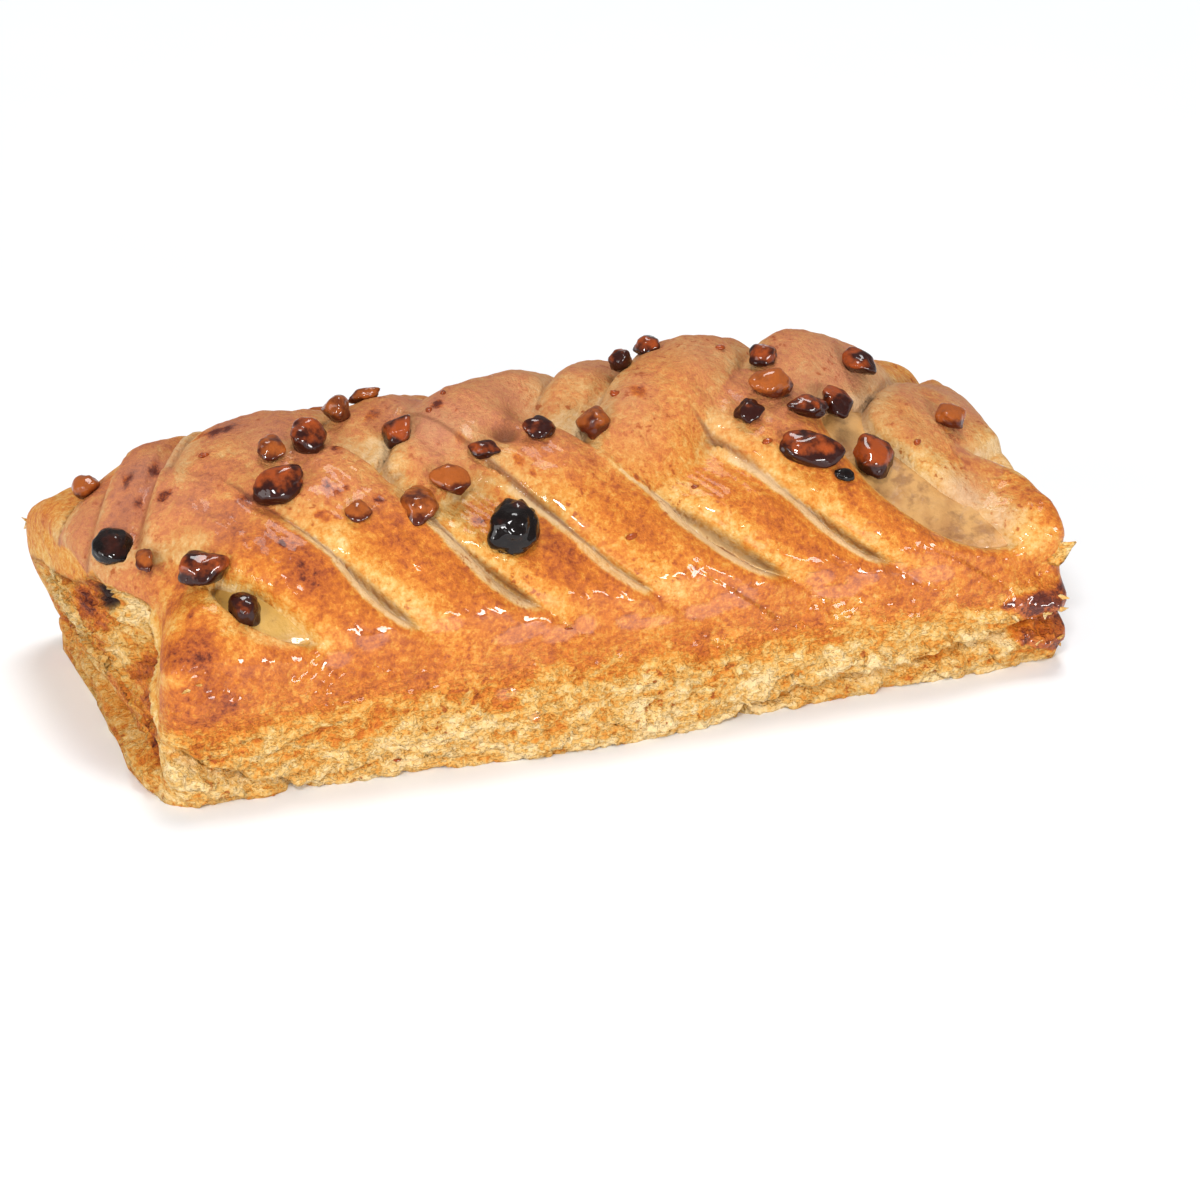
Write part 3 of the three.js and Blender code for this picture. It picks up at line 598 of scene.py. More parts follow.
def right_end(face):
    """The right end: a hollow between roof and sheet, and below it two lips with a notch between them,
    where shade is painted along a line.

    The hollow is a product of smooth steps up and across, the notch and the upper lip are bell curves.
    """
    y, z = face[..., 1], face[..., 2]
    wander = noise(face, 6.0, 60)
    above_notch = z - 6.0 - 0.5 * wander
    upward = ease((17.0 - z) / 3.0) * ease((z - 10.0) / 2.0)
    hollow = 2.4 * upward * ease((y + 22.0) / 5.0) * ease((23.0 - y) / 5.0)
    lips = 2.0 * spot(above_notch / 0.9) - 0.8 * spot((z - 8.6) / 1.3)
    brown = 0.1 + 0.35 * ease((11.0 + wander - z) / 2.0) * ease((z - 2.0) / 1.0) * ease((-8.0 - y) / 10.0)
    bare = ease((19.0 + wander - z) / 3.0)
    # The line is painted shade in the notch between the lips.
    return EndFace(hollow + lips, 0.0, brown, bare, 0.6 * spot(above_notch / 0.7))


def end_hollow(face, sign, s):
    """How far an end face lies inside its rim, and its marks: the end's own forms, plates and crags.

    The relief and the hole's painted shade fade out at the rim, where s, the share of the way from the
    middle, is 1.
    """
    y, z = face[..., 1], face[..., 2]
    settled = ease((1.0 - s) / 0.1)
    warp = noise(face, 5.0, 61)
    wide, high = END_PLATES
    number, tilt, edge = plates(y / wide + 0.4 * warp, z / high + warp, 62)
    layers = 0.7 * (number - 0.5) - 0.5 * tilt - 0.35 * spot(edge / 0.1)
    crags = 0.35 * layered_noise(face, 4.0, 3, 63)
    end = left_end(face) if sign < 0.0 else right_end(face)
    mottled = 0.14 * end.bare * (number - 0.5) + 0.1 * layered_noise(face, 5.0, 3, 71)
    bake = END_TONE + end.brown + mottled
    # The burnt mark carries only painted shade: the darkened hole of the left end.
    marks = dough_marks(bake, line=end.line, flaky=end.bare, burnt=settled * end.charred)
    return settled * (end.depth + end.bare * layers + crags), marks


def dough_marks(bake, wet=0.0, line=0.0, flaky=0.0, dusty=0.0, burnt=0.0):
    """The six marks that the crust's material reads, each spread over as many points as bake has."""
    # The burnt mark is painted shade of the left end's hole; the dull tan mark is partly painted shade.
    marks = {"bake": bake, "wet": wet, "line": line, "flaky": flaky, "dusty": dusty, "burnt": burnt}
    return {name: values + 0.0 * bake for name, values in marks.items()}


# Soft oval patches again: where the crust is browner than its surroundings
BROWNED = [
    (-62.0, -0.90, 4.0, 0.16, 0.20),
    (-60.0, -1.32, 5.5, 0.24, 0.19),
    (-46.0, -0.24, 5.0, 0.05, 0.24),
    (-58.0, 0.12, 8.0, 0.24, 0.16),
    (-46.0, 0.10, 10.0, 0.20, 0.18),
    (34.0, 0.10, 6.0, 0.16, 0.14),
    (-22.0, 0.06, 6.0, 0.16, 0.14),
    (10.0, -1.42, 14.0, 0.10, 0.12),
    (-30.0, -0.55, 6.0, 0.14, 0.08),
    (-48.0, -0.52, 8.0, 0.24, 0.18),
    (-36.0, -1.42, 15.0, 0.22, 0.09),
    (-5.0, -0.77, 7.0, 0.16, 0.08),
    (-51.0, -0.04, 9.0, 0.16, 0.14),
]
# Where it is pale, and dulled towards tan as painted shade: the inner wall of the right-hand slit's bowl
PALED = [(54.5, -0.58, 5.0, 0.16, 1.0), (57.5, -0.74, 3.0, 0.12, 0.8)]
# Pools of syrup
SYRUP = [
    (-41.8, -1.11, 2.2, 0.05, 1.0),
    (-37.2, -1.03, 3.0, 0.06, 1.0),
    (-27.0, -1.00, 2.6, 0.05, 1.0),
    (-15.8, -1.13, 4.0, 0.06, 1.0),
    (-11.0, -1.17, 2.8, 0.05, 1.0),
    (-6.8, -1.15, 1.8, 0.06, 1.0),
    (-1.0, -1.16, 2.4, 0.04, 1.0),
    (3.3, -1.18, 3.4, 0.04, 1.0),
    (10.0, -1.16, 3.6, 0.05, 1.0),
    (14.5, -1.12, 3.6, 0.06, 1.0),
    (16.7, -1.08, 1.6, 0.05, 1.0),
    (28.0, -1.04, 2.4, 0.05, 1.0),
    (30.8, -1.14, 4.4, 0.05, 1.0),
    (33.9, -1.07, 2.6, 0.05, 1.0),
    (38.9, -1.02, 2.0, 0.05, 1.0),
    (45.0, -1.10, 4.0, 0.07, 1.0),
    (58.7, -0.38, 3.6, 0.12, 1.0),
    (-14.8, -1.66, 0.8, 0.06, 1.0),
    (-18.3, -1.49, 1.4, 0.03, 1.0),
    (14.3, -0.66, 2.4, 0.05, 1.0),
    (19.0, -0.80, 2.2, 0.05, 1.0),
    (36.3, -0.80, 1.4, 0.04, 1.0),
    (45.9, -0.87, 1.2, 0.04, 1.0),
]
# Small brown stains
STAINS = [
    (-56.9, -0.08, 1.0, 0.03, 1.0),
    (-54.8, 0.14, 1.0, 0.03, 1.0),
    (-46.5, -0.50, 0.6, 0.02, 1.0),
    (-18.5, -0.03, 1.2, 0.03, 1.0),
    (-10.8, -0.35, 0.8, 0.03, 1.0),
    (-9.6, -0.41, 0.7, 0.02, 0.9),
    (-61.4, -0.63, 0.9, 0.04, 1.0),
    (-48.9, -0.80, 0.7, 0.03, 1.0),
    (-58.4, 0.14, 0.9, 0.03, 1.0),
    (-58.5, 0.02, 0.9, 0.02, 0.9),
    (-23.0, -0.74, 0.7, 0.02, 0.9),
    (5.0, -0.47, 0.6, 0.02, 1.0),
    (-33.8, -0.14, 1.6, 0.04, 0.9),
    (-29.5, -0.23, 1.2, 0.03, 0.8),
    (-26.8, 0.04, 1.6, 0.03, 0.8),
    (-40.1, -0.42, 1.6, 0.04, 0.8),
    (-18.8, -0.53, 1.2, 0.03, 0.8),
    (-17.6, -0.21, 1.6, 0.03, 0.8),
    (55.6, -0.25, 1.4, 0.04, 0.8),
    (-38.0, -0.32, 0.8, 0.02, 1.0),
    (-37.1, -0.35, 0.9, 0.02, 1.0),
    (-35.6, -0.35, 0.8, 0.02, 0.9),
    (-31.8, -0.42, 1.0, 0.02, 0.9),
    (-48.0, 0.16, 4.0, 0.04, 0.9),
    (-47.5, -0.24, 4.0, 0.025, 0.8),
    (9.0, -0.16, 2.0, 0.04, 0.8),
]
# Where the front wall is scorched near the right end: heights, and the x where it starts at each
SCORCHED_Z = [3.0, 5.0, 7.5, 10.5, 12.5]
SCORCHED_X = [62.0, 55.5, 58.0, 53.5, 60.0]


def crust_stains(points, x, q):
    """Where the crust is stained brown, from 0 to 1: the listed stains with ragged shores."""
    shore = patches(x, q, STAINS) + 0.35 * layered_noise(points, 1.4, 2, 49)
    return ease((shore - 0.42) / 0.3)


def syrup_pools(points, strips, x, q):
    """Where syrup has gathered, from 0 to 1: pools with wandering shores, and runs on the strips.

    The runs follow the left edges of the front strips, where a noise lets them.
    """
    edges = (strips.side < 0) * spot((strips.across + 0.8) / 0.16) * ease((np.abs(q) - 0.45) / 0.2)
    runs = edges * ease((1.05 - np.abs(q)) / 0.1) * ease((noise(points, 6.0, 29) - 0.1) / 0.3)
    shore = patches(x, q, SYRUP) + 0.25 * layered_noise(points, 2.5, 2, 24)
    return np.maximum(ease((shore - 0.3) / 0.25), runs)


def scorched_lips(points, x, q):
    """Where the front wall's lips are scorched, from 0 to 1: beyond an x of its own at every height."""
    z = points[..., 2] + 0.8 * noise(points, 3.0, 48)
    start = np.interp(z, SCORCHED_Z, SCORCHED_X)
    return (q < 0.0) * ease((x - start) / 3.0) * ease((13.0 - z) / 1.0) * ease((z - 2.0) / 1.0)


def pale_banks(strips, x, w):
    """The right-hand banks of the strips, which stay pale, from 0 to 1.

    Smooth steps end them at the ridge and the foot, thin them out to the left and weaken the right ones.
    """
    bank = ease((strips.across - 0.66) / 0.12) * ease((w - 0.3) / 0.2) * ease((1.04 - w) / 0.1)
    at_foot = x + BANK_LEAN * (1.0 - w)
    return bank * towards(x, -62.0, 24.0) * (1.0 - 0.7 * towards(at_foot, 44.0, 5.0))


def shaded_lines(crust, x, q):
    """Shade along creases and folds, broken up by noise, and in the cracks, from 0 to 1."""
    line = np.maximum(crust.braid.crease, 0.6 * crust.folds.line)
    line = line * np.clip(0.8 + 0.5 * noise(crust.smooth, 6.0, 27), 0.0, 1.0)
    return np.maximum(line, ease((patches(x, q, CRACKS) - 0.5) / 1.2))


def crust_bake(crust, x, q, roof, front, bank):
    """How brown the crust is, from about 0 to 1: a middle tone with more and less added to it.

    Crowns of the strips, shoulders and browned patches are darker. Banks, young edges, slits, hems, the
    bowl's inner wall and the flaky walls are paler, and the folds' rims as a painted highlight. Noise of
    several sizes mottles it, most of all at the left end.
    """
    w = np.abs(q)
    points, strips, flaky = crust.smooth, crust.braid, crust.flaky
    crown = front * np.clip(strips.height + 0.9, 0.0, 3.5) / 3.5
    shoulder = ease((w - 0.9) / 0.2) * ease((1.5 - w) / 0.2)
    browned = patches(x, q, BROWNED) * (1.0 + 0.5 * noise(points, 3.0, 25)) + 0.05 * crust.pool
    young = front * ease((-0.05 - strips.across) / 0.7)
    slit = ease((-0.6 - strips.height) / 0.8) * roof
    back_edge = (1.0 - front) * ease((np.abs(strips.across) - 0.6) / 0.25) * ease((0.5 - w) / 0.2)
    hem_edge = spot((flaky.below + 0.4) / 0.6) * ease((w - 1.4) / 0.2)
    edges = 0.52 * bank + 0.22 * young + 0.25 * slit + 0.20 * back_edge + 0.10 * hem_edge
    middle = 0.72 + 0.28 * spot((x - 4.0) / 34.0)
    wall = 0.24 * middle + 0.14 * (flaky.large - 0.5) + 0.12 * (flaky.small - 0.5)
    # The folds' pale rims are a painted highlight.
    paler = edges + 0.22 * crust.folds.rim + 0.25 * patches(x, q, PALED) + wall * ease((w - 1.25) / 0.45)
    mottled = 0.06 * layered_noise(points, 8.0, 3, 21) + 0.06 * layered_noise(points, 2.0, 2, 22)
    mottled = mottled + 0.14 * towards(x, -30.0, -16.0) * roof * layered_noise(points, 3.0, 3, 23)
    return 0.50 + 0.15 * crown + 0.09 * shoulder + browned - paler + mottled


def crust_marks(crust, x, q):
    """The crust's marks at every point: its bake, and where it is wet, shaded, flaky and dull tan.

    Stains and scorched lips darken the bake. Pools, shoulders and scorched lips are wet. The ridge and the
    pale banks are dull tan in their own tone; the bowl's inner wall is dulled as painted shade. The burnt
    mark, the painted shade of the left end's hole, is 0 here.
    """
    w = np.abs(q)
    points = crust.smooth
    roof = 1.0 - ease((w - 0.98) / 0.2)
    front = roof * (crust.braid.side < 0)
    bank = front * pale_banks(crust.braid, x, w)
    stain = crust_stains(points, x, q)
    scorched = scorched_lips(points, x, q)
    bake = crust_bake(crust, x, q, roof, front, bank) + 0.5 * scorched + 0.3 * stain
    gloss = 0.1 * front + 0.2 * ease((w - 0.8) / 0.2) * (1.0 - ease((w - 1.3) / 0.15))
    gloss = np.maximum(gloss * (1.0 + 0.7 * noise(points, 5.0, 26)), 0.45 * scorched)
    wet = np.clip(np.maximum(crust.pool, gloss), 0.0, 1.0)
    dusty = np.maximum(ease((0.6 - w) / 0.5) * (0.7 + 0.4 * noise(points, 7.0, 28)), 0.5 * bank)
    # The bowl's inner wall is dulled towards tan as painted shade.
    dusty = np.maximum(dusty, 0.9 * patches(x, q, PALED)) * (1.0 - stain)
    return dough_marks(bake, wet, shaded_lines(crust, x, q), ease((w - 1.05) / 0.5), dusty)


def closed_grid_faces(rows, columns):
    """Quads of a grid whose rows close on themselves, and the triangles that close its ends on a point."""
    row, column = np.meshgrid(np.arange(rows), np.arange(columns - 1), indexing="ij")
    after = (row + 1) % rows
    corners = [row * columns + column, row * columns + column + 1]
    corners += [after * columns + column + 1, after * columns + column]
    quads = np.stack(corners, axis=-1).reshape(-1, 4)
    ring = np.arange(rows)
    ring_after = (ring + 1) % rows
    first = np.full(rows, rows * columns)
    last = first + 1
    left = np.stack([first, ring * columns, ring_after * columns], axis=-1)
    right = np.stack([ring * columns + columns - 1, last, ring_after * columns + columns - 1], axis=-1)
    return quads, np.concatenate([left, right])


def add_piece(name, points, faces, finish, marks, replaces=()):
    """A mesh piece in the frame from points in millimetres, with its finish and its marks per point."""
    mesh = bpy.data.meshes.new(name)
    flat = ((points.reshape(-1, 3) + CENTRED) * METRE).tolist()
    mesh.from_pydata(flat, [], [face for group in faces for face in group.tolist()])
    for mark, values in marks.items():
        attribute = mesh.attributes.new(mark, "FLOAT", "POINT")
        attribute.data.foreach_set("value", np.ascontiguousarray(values, dtype=np.float32).ravel())
    mesh.polygons.foreach_set("use_smooth", np.ones(len(mesh.polygons), dtype=bool))
    mesh.materials.append(finish)
    mesh.update()
    piece = bpy.data.objects.new(name, mesh)
    bpy.context.scene.collection.objects.link(piece)
    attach(piece, "root")
    if replaces:
        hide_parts(*replaces)


def with_poles(grid):
    """A grid's points as a list, with the middle of its first and of its last column added."""
    poles = np.stack([grid[:, 0].mean(axis=0), grid[:, -1].mean(axis=0)])
    return np.concatenate([grid.reshape((-1,) + grid.shape[2:]), poles])


def joined_grids(grids):
    """Points and faces of many closed grids of one size, with their poles, joined in one mesh."""
    count, rows, columns = grids.shape[:3]
    points = np.stack([with_poles(grid) for grid in grids])
    quads, ends = closed_grid_faces(rows, columns)
    step = (np.arange(count) * points.shape[1])[:, None, None]
    return points, [(quads + step).reshape(-1, 4), (ends + step).reshape(-1, 3)]


def add_closed_grid(name, grid, finish, marks, replaces):
    """A piece from a grid whose rows close on themselves, with a point that closes either end."""
    marks = {mark: with_poles(values) for mark, values in marks.items()}
    add_piece(name, with_poles(grid), closed_grid_faces(*grid.shape[:2]), finish, marks, replaces)


class Value:
    """A number that varies over a finish. Arithmetic on it adds Math nodes."""

    def __init__(self, finish, socket):
        self.finish = finish
        self.socket = socket

    def math(self, operation, a, b):
        """The outcome of one operation on two values or numbers."""
        node = self.finish.node("ShaderNodeMath", {"operation": operation}, {0: a, 1: b})
        return Value(self.finish, node.outputs[0])

    def __add__(self, other):
        return self.math("ADD", self, other)

    def __radd__(self, other):
        return self.math("ADD", other, self)

    def __sub__(self, other):
        return self.math("SUBTRACT", self, other)

    def __rsub__(self, other):
        return self.math("SUBTRACT", other, self)

    def __mul__(self, other):
        return self.math("MULTIPLY", self, other)

    def __rmul__(self, other):
        return self.math("MULTIPLY", other, self)

    def above(self, start, end):
        """0 below start, 1 above end, smooth between."""
        settings = {"interpolation_type": "SMOOTHSTEP"}
        sockets = {0: self, 1: start, 2: end, 3: 0.0, 4: 1.0}
        return Value(self.finish, self.finish.node("ShaderNodeMapRange", settings, sockets).outputs[0])


class Finish:
    """A material under way: nodes are added by node(), and feed() sets or links a socket of the shader."""

    def __init__(self, name, constants):
        self.material = bpy.data.materials.new(name)
        self.material.use_nodes = True
        self.tree = self.material.node_tree
        self.shader = self.tree.nodes["Principled BSDF"]
        for socket, value in constants.items():
            self.shader.inputs[socket].default_value = value
        self.place = self.node("ShaderNodeTexCoord").outputs["Object"]

    def node(self, kind, settings=None, sockets=None):
        """A new node of this kind, with its settings set first and then its sockets set or linked."""
        made = self.tree.nodes.new(kind)
        for key, value in (settings or {}).items():
            if key == "stops":
                self.set_stops(made.color_ramp, value)
            else:
                setattr(made, key, value)
        for key, value in (sockets or {}).items():
            self.link(made.inputs[key], value)
        return made

    def link(self, socket, value):
        """Links a value or another node's socket to this socket, or sets it to a number or colour."""
        if isinstance(value, Value):
            value = value.socket
        if isinstance(value, bpy.types.NodeSocket):
            self.tree.links.new(value, socket)
        else:
            socket.default_value = value

    def set_stops(self, ramp, stops):
        """Gives a colour ramp its stops: positions from 0 to 1 with their colours."""
        while len(ramp.elements) < len(stops):
            ramp.elements.new(0.5)
        for element, (position, colour) in zip(ramp.elements, stops):
            element.position = position
            element.color = colour

    def feed(self, socket, value):
        """Sets or links a socket of the shader."""
        self.link(self.shader.inputs[socket], value)

    def mark(self, name):
        """The value that the piece's mesh carries under this name."""
        node = self.node("ShaderNodeAttribute", {"attribute_name": name})
        return Value(self, node.outputs["Fac"])

    def stretched(self, along, across, up):
        """Object coordinates, in millimetres, scaled along the three axes."""
        scale = (along / METRE, across / METRE, up / METRE)
        node = self.node("ShaderNodeVectorMath", {"operation": "MULTIPLY"}, {0: self.place, 1: scale})
        return node.outputs[0]

    def grain(self, size, detail=3.0, stretch=(1.0, 1.0, 1.0)):
        """Noise from 0 to 1 with spots of the given size in millimetres."""
        place = self.stretched(*stretch)
        settings = {"noise_dimensions": "3D"}
        sockets = {"Vector": place, "Scale": 1.0 / size, "Detail": detail, "Roughness": 0.6}
        return Value(self, self.node("ShaderNodeTexNoise", settings, sockets).outputs["Fac"])

    def ramp(self, value, stops):
        """The colour that the stops give for a value."""
        return self.node("ShaderNodeValToRGB", {"stops": stops}, {"Fac": value}).outputs["Color"]

    def mix(self, a, b, share):
        """Colour a with a share of colour b."""
        node = self.node("ShaderNodeMix", {"data_type": "RGBA"}, {0: share, 6: a, 7: b})
        return node.outputs[2]

    def bump(self, height, depth):
        """Bumps from a height of 0 to 1, depth millimetres high."""
        sockets = {"Height": height, "Distance": depth * METRE, "Strength": 1.0}
        self.feed("Normal", self.node("ShaderNodeBump", None, sockets).outputs["Normal"])


def paint(red, green, blue):
    """A colour from screen values of 0 to 255, as the light it reflects: the screen's curve undone."""
    screen = np.array([red, green, blue]) / 255.0
    light = np.where(screen <= 0.04045, screen / 12.92, ((screen + 0.055) / 1.055) ** 2.4)
    return (*light.tolist(), 1.0)


# Colours of the dough, from hardly baked to caramel, then the painted shade of the left end's hole, its
# dull tan (its own tone, and painted shade on the right-hand bowl's wall) and the painted shade of its
# lines
CREAM = paint(230, 200, 146)
STRAW = paint(214, 168, 92)
GOLD = paint(206, 136, 48)
AMBER = paint(194, 106, 26)
CHESTNUT = paint(156, 72, 22)
CARAMEL = paint(88, 28, 9)
SHADE_IN_HOLE = paint(40, 14, 8)
TAN = paint(180, 124, 100)
SHADED_DOUGH = paint(112, 62, 34)
BAKED = [(0.06, CREAM), (0.3, STRAW), (0.48, GOLD), (0.62, AMBER), (0.84, CHESTNUT), (1.0, CARAMEL)]
# Colours of the filling
PASTE = paint(200, 152, 92)
DEEP_PASTE = paint(174, 124, 70)
YELLOW_PASTE = paint(196, 154, 78)
FLECK = paint(122, 78, 48)
# Light and dark tone of every nut finish
NUT_COLOURS = {
    "nut_honey": (paint(156, 80, 30), paint(78, 28, 11)),
    "nut_brown": (paint(150, 66, 24), paint(46, 13, 7)),
    "nut_burnt": (paint(52, 18, 9), paint(12, 4, 3)),
}
# The table top's two tones, as reflected light
TABLE_COLOURS = (0.90, 0.92, 0.94, 1.0), (0.92, 0.94, 0.96, 1.0)


def crust_material():
    """Baked dough: cream to caramel by bake and mottling, specks, painted shade and highlight; a syrup
    coat.
    """
    finish = Finish("crust", {"Coat Roughness": 0.025, "Coat IOR": 1.65, "Specular IOR Level": 0.28})
    bake, wet, flaky, dusty = [finish.mark(name) for name in ("bake", "wet", "flaky", "dusty")]
    freckles = finish.grain(1.0, 5.0)
    fine = finish.grain(0.4, 3.0)
    layers = finish.grain(3.0, 5.0, (0.7, 0.7, 1.4))
    terraces = layers.above(0.42, 0.45) + layers.above(0.50, 0.53) + layers.above(0.58, 0.61) - 1.5
    spots = freckles.above(0.48, 0.66) * 0.13 - (1.0 - freckles.above(0.34, 0.5)) * 0.12
    tone = bake + spots + (fine - 0.5) * 0.46 + terraces * flaky * 0.10
    colour = finish.ramp(tone, BAKED)
    # Dull tan: the ridge's and banks' own tone, and painted shade on the bowl's inner wall.
    colour = finish.mix(colour, TAN, dusty * 0.68)
    toasted = finish.grain(1.0, 2.0).above(0.6, 0.68) * finish.grain(8.0, 2.0).above(0.5, 0.62)
    colour = finish.mix(colour, CHESTNUT, toasted * 0.8)
    colour = finish.mix(colour, SHADED_DOUGH, finish.mark("line") * 0.85)
    # Painted shade: the burnt mark darkens the left end's hole nearly black.
    colour = finish.mix(colour, SHADE_IN_HOLE, finish.mark("burnt"))
    finish.feed("Base Color", colour)
    finish.feed("Coat Weight", wet)
    finish.feed("Roughness", 0.62 - wet * 0.25 + (fine - 0.5) * 0.2)
    height = (freckles * 0.5 + fine * 0.4) * (1.08 - wet) - terraces * flaky * 0.35
    finish.bump(height, 0.6)
    return finish.material


def filling_material():
    """Nut filling: moist beige paste, yellow where its mark says, with brown flecks gathered in places."""
    finish = Finish("filling", {"Coat Weight": 0.6, "Coat Roughness": 0.08})
    mixed = finish.grain(4.0, 3.0)
    fine = finish.grain(0.6, 3.0)
    colour = finish.mix(PASTE, DEEP_PASTE, mixed.above(0.4, 0.7))
    colour = finish.mix(colour, YELLOW_PASTE, finish.mark("yellow"))
    flecks = (finish.grain(2.2, 4.0, (1.0, 1.0, 1.6)) + finish.mark("flecked") * 0.2).above(0.58, 0.82)
    colour = finish.mix(colour, FLECK, flecks * 0.6)
    finish.feed("Base Color", colour)
    finish.feed("Roughness", 0.38 + (fine - 0.5) * 0.2)
    finish.bump(mixed * 0.5 + fine * 0.4, 0.4)
    return finish.material


def nut_material(name, light, dark):
    """Toasted nut under syrup: two tones in patches, darker where the mark says, with a wet coat."""
    constants = {"Coat Weight": 0.7, "Coat Roughness": 0.02, "Coat IOR": 1.48, "Specular IOR Level": 0.05}
    finish = Finish(name, constants)
    blotches = finish.grain(3.4, 2.0)
    fine = finish.grain(0.6, 3.0)
    tone = finish.mark("tone") + (blotches - 0.5) * 2.2 + (fine - 0.5) * 0.5
    colour = finish.mix(light, dark, tone.above(0.2, 0.8))
    finish.feed("Base Color", colour)
    finish.feed("Roughness", 0.4 + (fine - 0.5) * 0.3)
    finish.bump(blotches * 0.5 + finish.grain(1.3, 2.0) * 0.5 + fine * 0.2, 0.5)
    return finish.material


# The filling: its reach along the braid and in q, the relief of its top, and how much lower its belly is
FILLING_FROM, FILLING_TO, FILLING_EDGE = -56.0, 60.0, 1.02
FILLING_RELIEF, FILLING_DEPTH = -3.0, 3.5
FILLING_TOP_ROWS, FILLING_BELLY_ROWS, FILLING_COLUMNS = 120, 12, 300
YELLOW_FROM, YELLOW_RUN = -30.0, -10.0  # it turns yellow to the left
# Soft oval patches: where it swells up into its slits, in millimetres, and where brown flecks gather
SWELLS = [(-50.5, -0.80, 9.0, 0.30, 2.4), (51.0, -0.70, 13.0, 0.40, 1.5), (16.5, -0.84, 7.0, 0.20, 0.7)]
FLECKED = [
    (52.0, -0.80, 6.0, 0.14, 1.0),
    (46.0, -0.55, 4.0, 0.12, 1.0),
    (17.0, -0.86, 8.0, 0.16, 1.0),
    (34.0, -0.90, 6.0, 0.20, 1.0),
]


def filling_surface():
    """The filling: a closed tube under the roof, its top lumpy in the slits and its belly out of sight."""
    top = np.linspace(-FILLING_EDGE, FILLING_EDGE, FILLING_TOP_ROWS)
    belly = np.linspace(1.0, -1.0, FILLING_BELLY_ROWS)
    under = np.concatenate([0.0 * top, np.ones(FILLING_BELLY_ROWS)])
    along = np.linspace(FILLING_FROM, FILLING_TO, FILLING_COLUMNS)
    q, x = np.meshgrid(np.concatenate([top, belly]), along, indexing="ij")
    smooth = crust_points(x, q, 0.0)
    lumps = 0.35 * layered_noise(smooth, 4.0, 3, 31)
    relief = FILLING_RELIEF + patches(x, q, SWELLS) + lumps - FILLING_DEPTH * under[:, None]
    marks = {"yellow": towards(x, YELLOW_FROM, YELLOW_RUN), "flecked": patches(x, q, FLECKED)}
    return crust_points(x, q, relief), marks


# Nut pieces: the sides they are chopped to, the nearest side and how much farther others may be, as shares
# of the ball's radius, and their grids
NUT_SIDES, NEAREST_SIDE, SIDE_SPREAD = 8, 0.74, 0.34
NUT_ROWS, NUT_COLUMNS = 40, 26
CHIP_ROWS, CHIP_COLUMNS = 10, 6
GOLDEN_ANGLE, FULL_TURN = 2.39996, 6.28  # in radians, rounded


def chopped_ball(index, rows, columns, lumpy, sharp):
    """A ball whose radius is the smooth smallest of some planes' distances, so that it has worn facets.

    The planes are spread by the golden angle, and noise dents the ball by the share lumpy.
    """
    polar = np.linspace(0.0, np.pi, columns + 2)[1:-1]
    turn = np.linspace(0.0, 2.0 * np.pi, rows, endpoint=False)
    polar, turn = np.meshgrid(polar, turn)
    ball = np.stack([np.sin(polar) * np.cos(turn), np.sin(polar) * np.sin(turn), np.cos(polar)], axis=-1)
    count = np.arange(NUT_SIDES)
    slope = 1.0 - 2.0 * (count + 0.5) / NUT_SIDES
    swing = count * GOLDEN_ANGLE + FULL_TURN * draw(index, 3)
    flat = np.sqrt(1.0 - slope * slope)
    normals = np.stack([flat * np.cos(swing), flat * np.sin(swing), slope], axis=-1)
    distance = NEAREST_SIDE + SIDE_SPREAD * draw(count + 20 * index, 4)
    facing = np.clip(ball @ normals.T, 0.0, None) / distance
    radius = (facing**sharp).sum(axis=-1) ** (-1.0 / sharp)
    dents = 1.0 + lumpy * layered_noise(ball * 3.0 + 10.0 * index, 1.5, 2, 6)
    return ball * (radius * dents)[..., None]


NUT_FILL = 0.92  # share of a nut's surface that lies within its solid's reach
NUT_SUNK = 0.06  # share of its height that it is sunk
EVEN, RUGGED = 0.10, 0.17  # how deep the nuts' lumps are, and those of the big burnt one
RUGGED_NUT = "nut_16"
# How sharp the edges of the burnt nuts are, and those of the others, with the spread of their draws
WORN, SHARP, SHARP_SPREAD = 2.2, 3.0, 3.0
# How dark the nuts on the side of the camera are, in their order; the others take a draw
NUT_TONES = [0.4, 0.8, 0.5, 0.6, 0.7, 0.5, 0.6, 0.4, 0.3, 0.5, 0.5, 0.2, 0.4, 0.3, 0.6]
NUT_TONES += [0.8, 0.8, 0.3, 0.6, 0.6, 0.6, 0.1, 0.8, 0.7, 0.6, 0.6, 0.5, 0.4, 0.9, 0.4]


def nut_surface(points, index, burnt, lumpy):
    """One nut piece: a chopped ball, drawn out along the main axes of the solid that it stands for.

    Its tone goes up towards its lower part: partly syrup that has run there, partly painted shade
    where it sits.
    """
    low, high = points.min(axis=0), points.max(axis=0)
    spread = points - points.mean(axis=0)
    axes = np.linalg.eigh(spread.T @ spread)[1].T
    span = spread @ axes.T
    reach = 0.5 * (span.max(axis=0) - span.min(axis=0))
    sharp = WORN if burnt else SHARP + SHARP_SPREAD * draw(index, 5)
    local = chopped_ball(index, NUT_ROWS, NUT_COLUMNS, lumpy, sharp)
    local = local / np.quantile(np.abs(local), NUT_FILL, axis=(0, 1)) * NUT_FILL * reach
    surface = 0.5 * (low + high) + local @ axes
    surface[..., 2] -= NUT_SUNK * (high - low)[2]
    height = (surface[..., 2] - low[2]) / (high - low)[2]
    base = NUT_TONES[index] if index < len(NUT_TONES) else 0.2 + 0.6 * draw(index, 7)
    # Darker low down: run syrup and painted shade where the nut sits.
    tone = base + 0.8 * ease((0.6 - height) / 0.5)
    return surface, tone


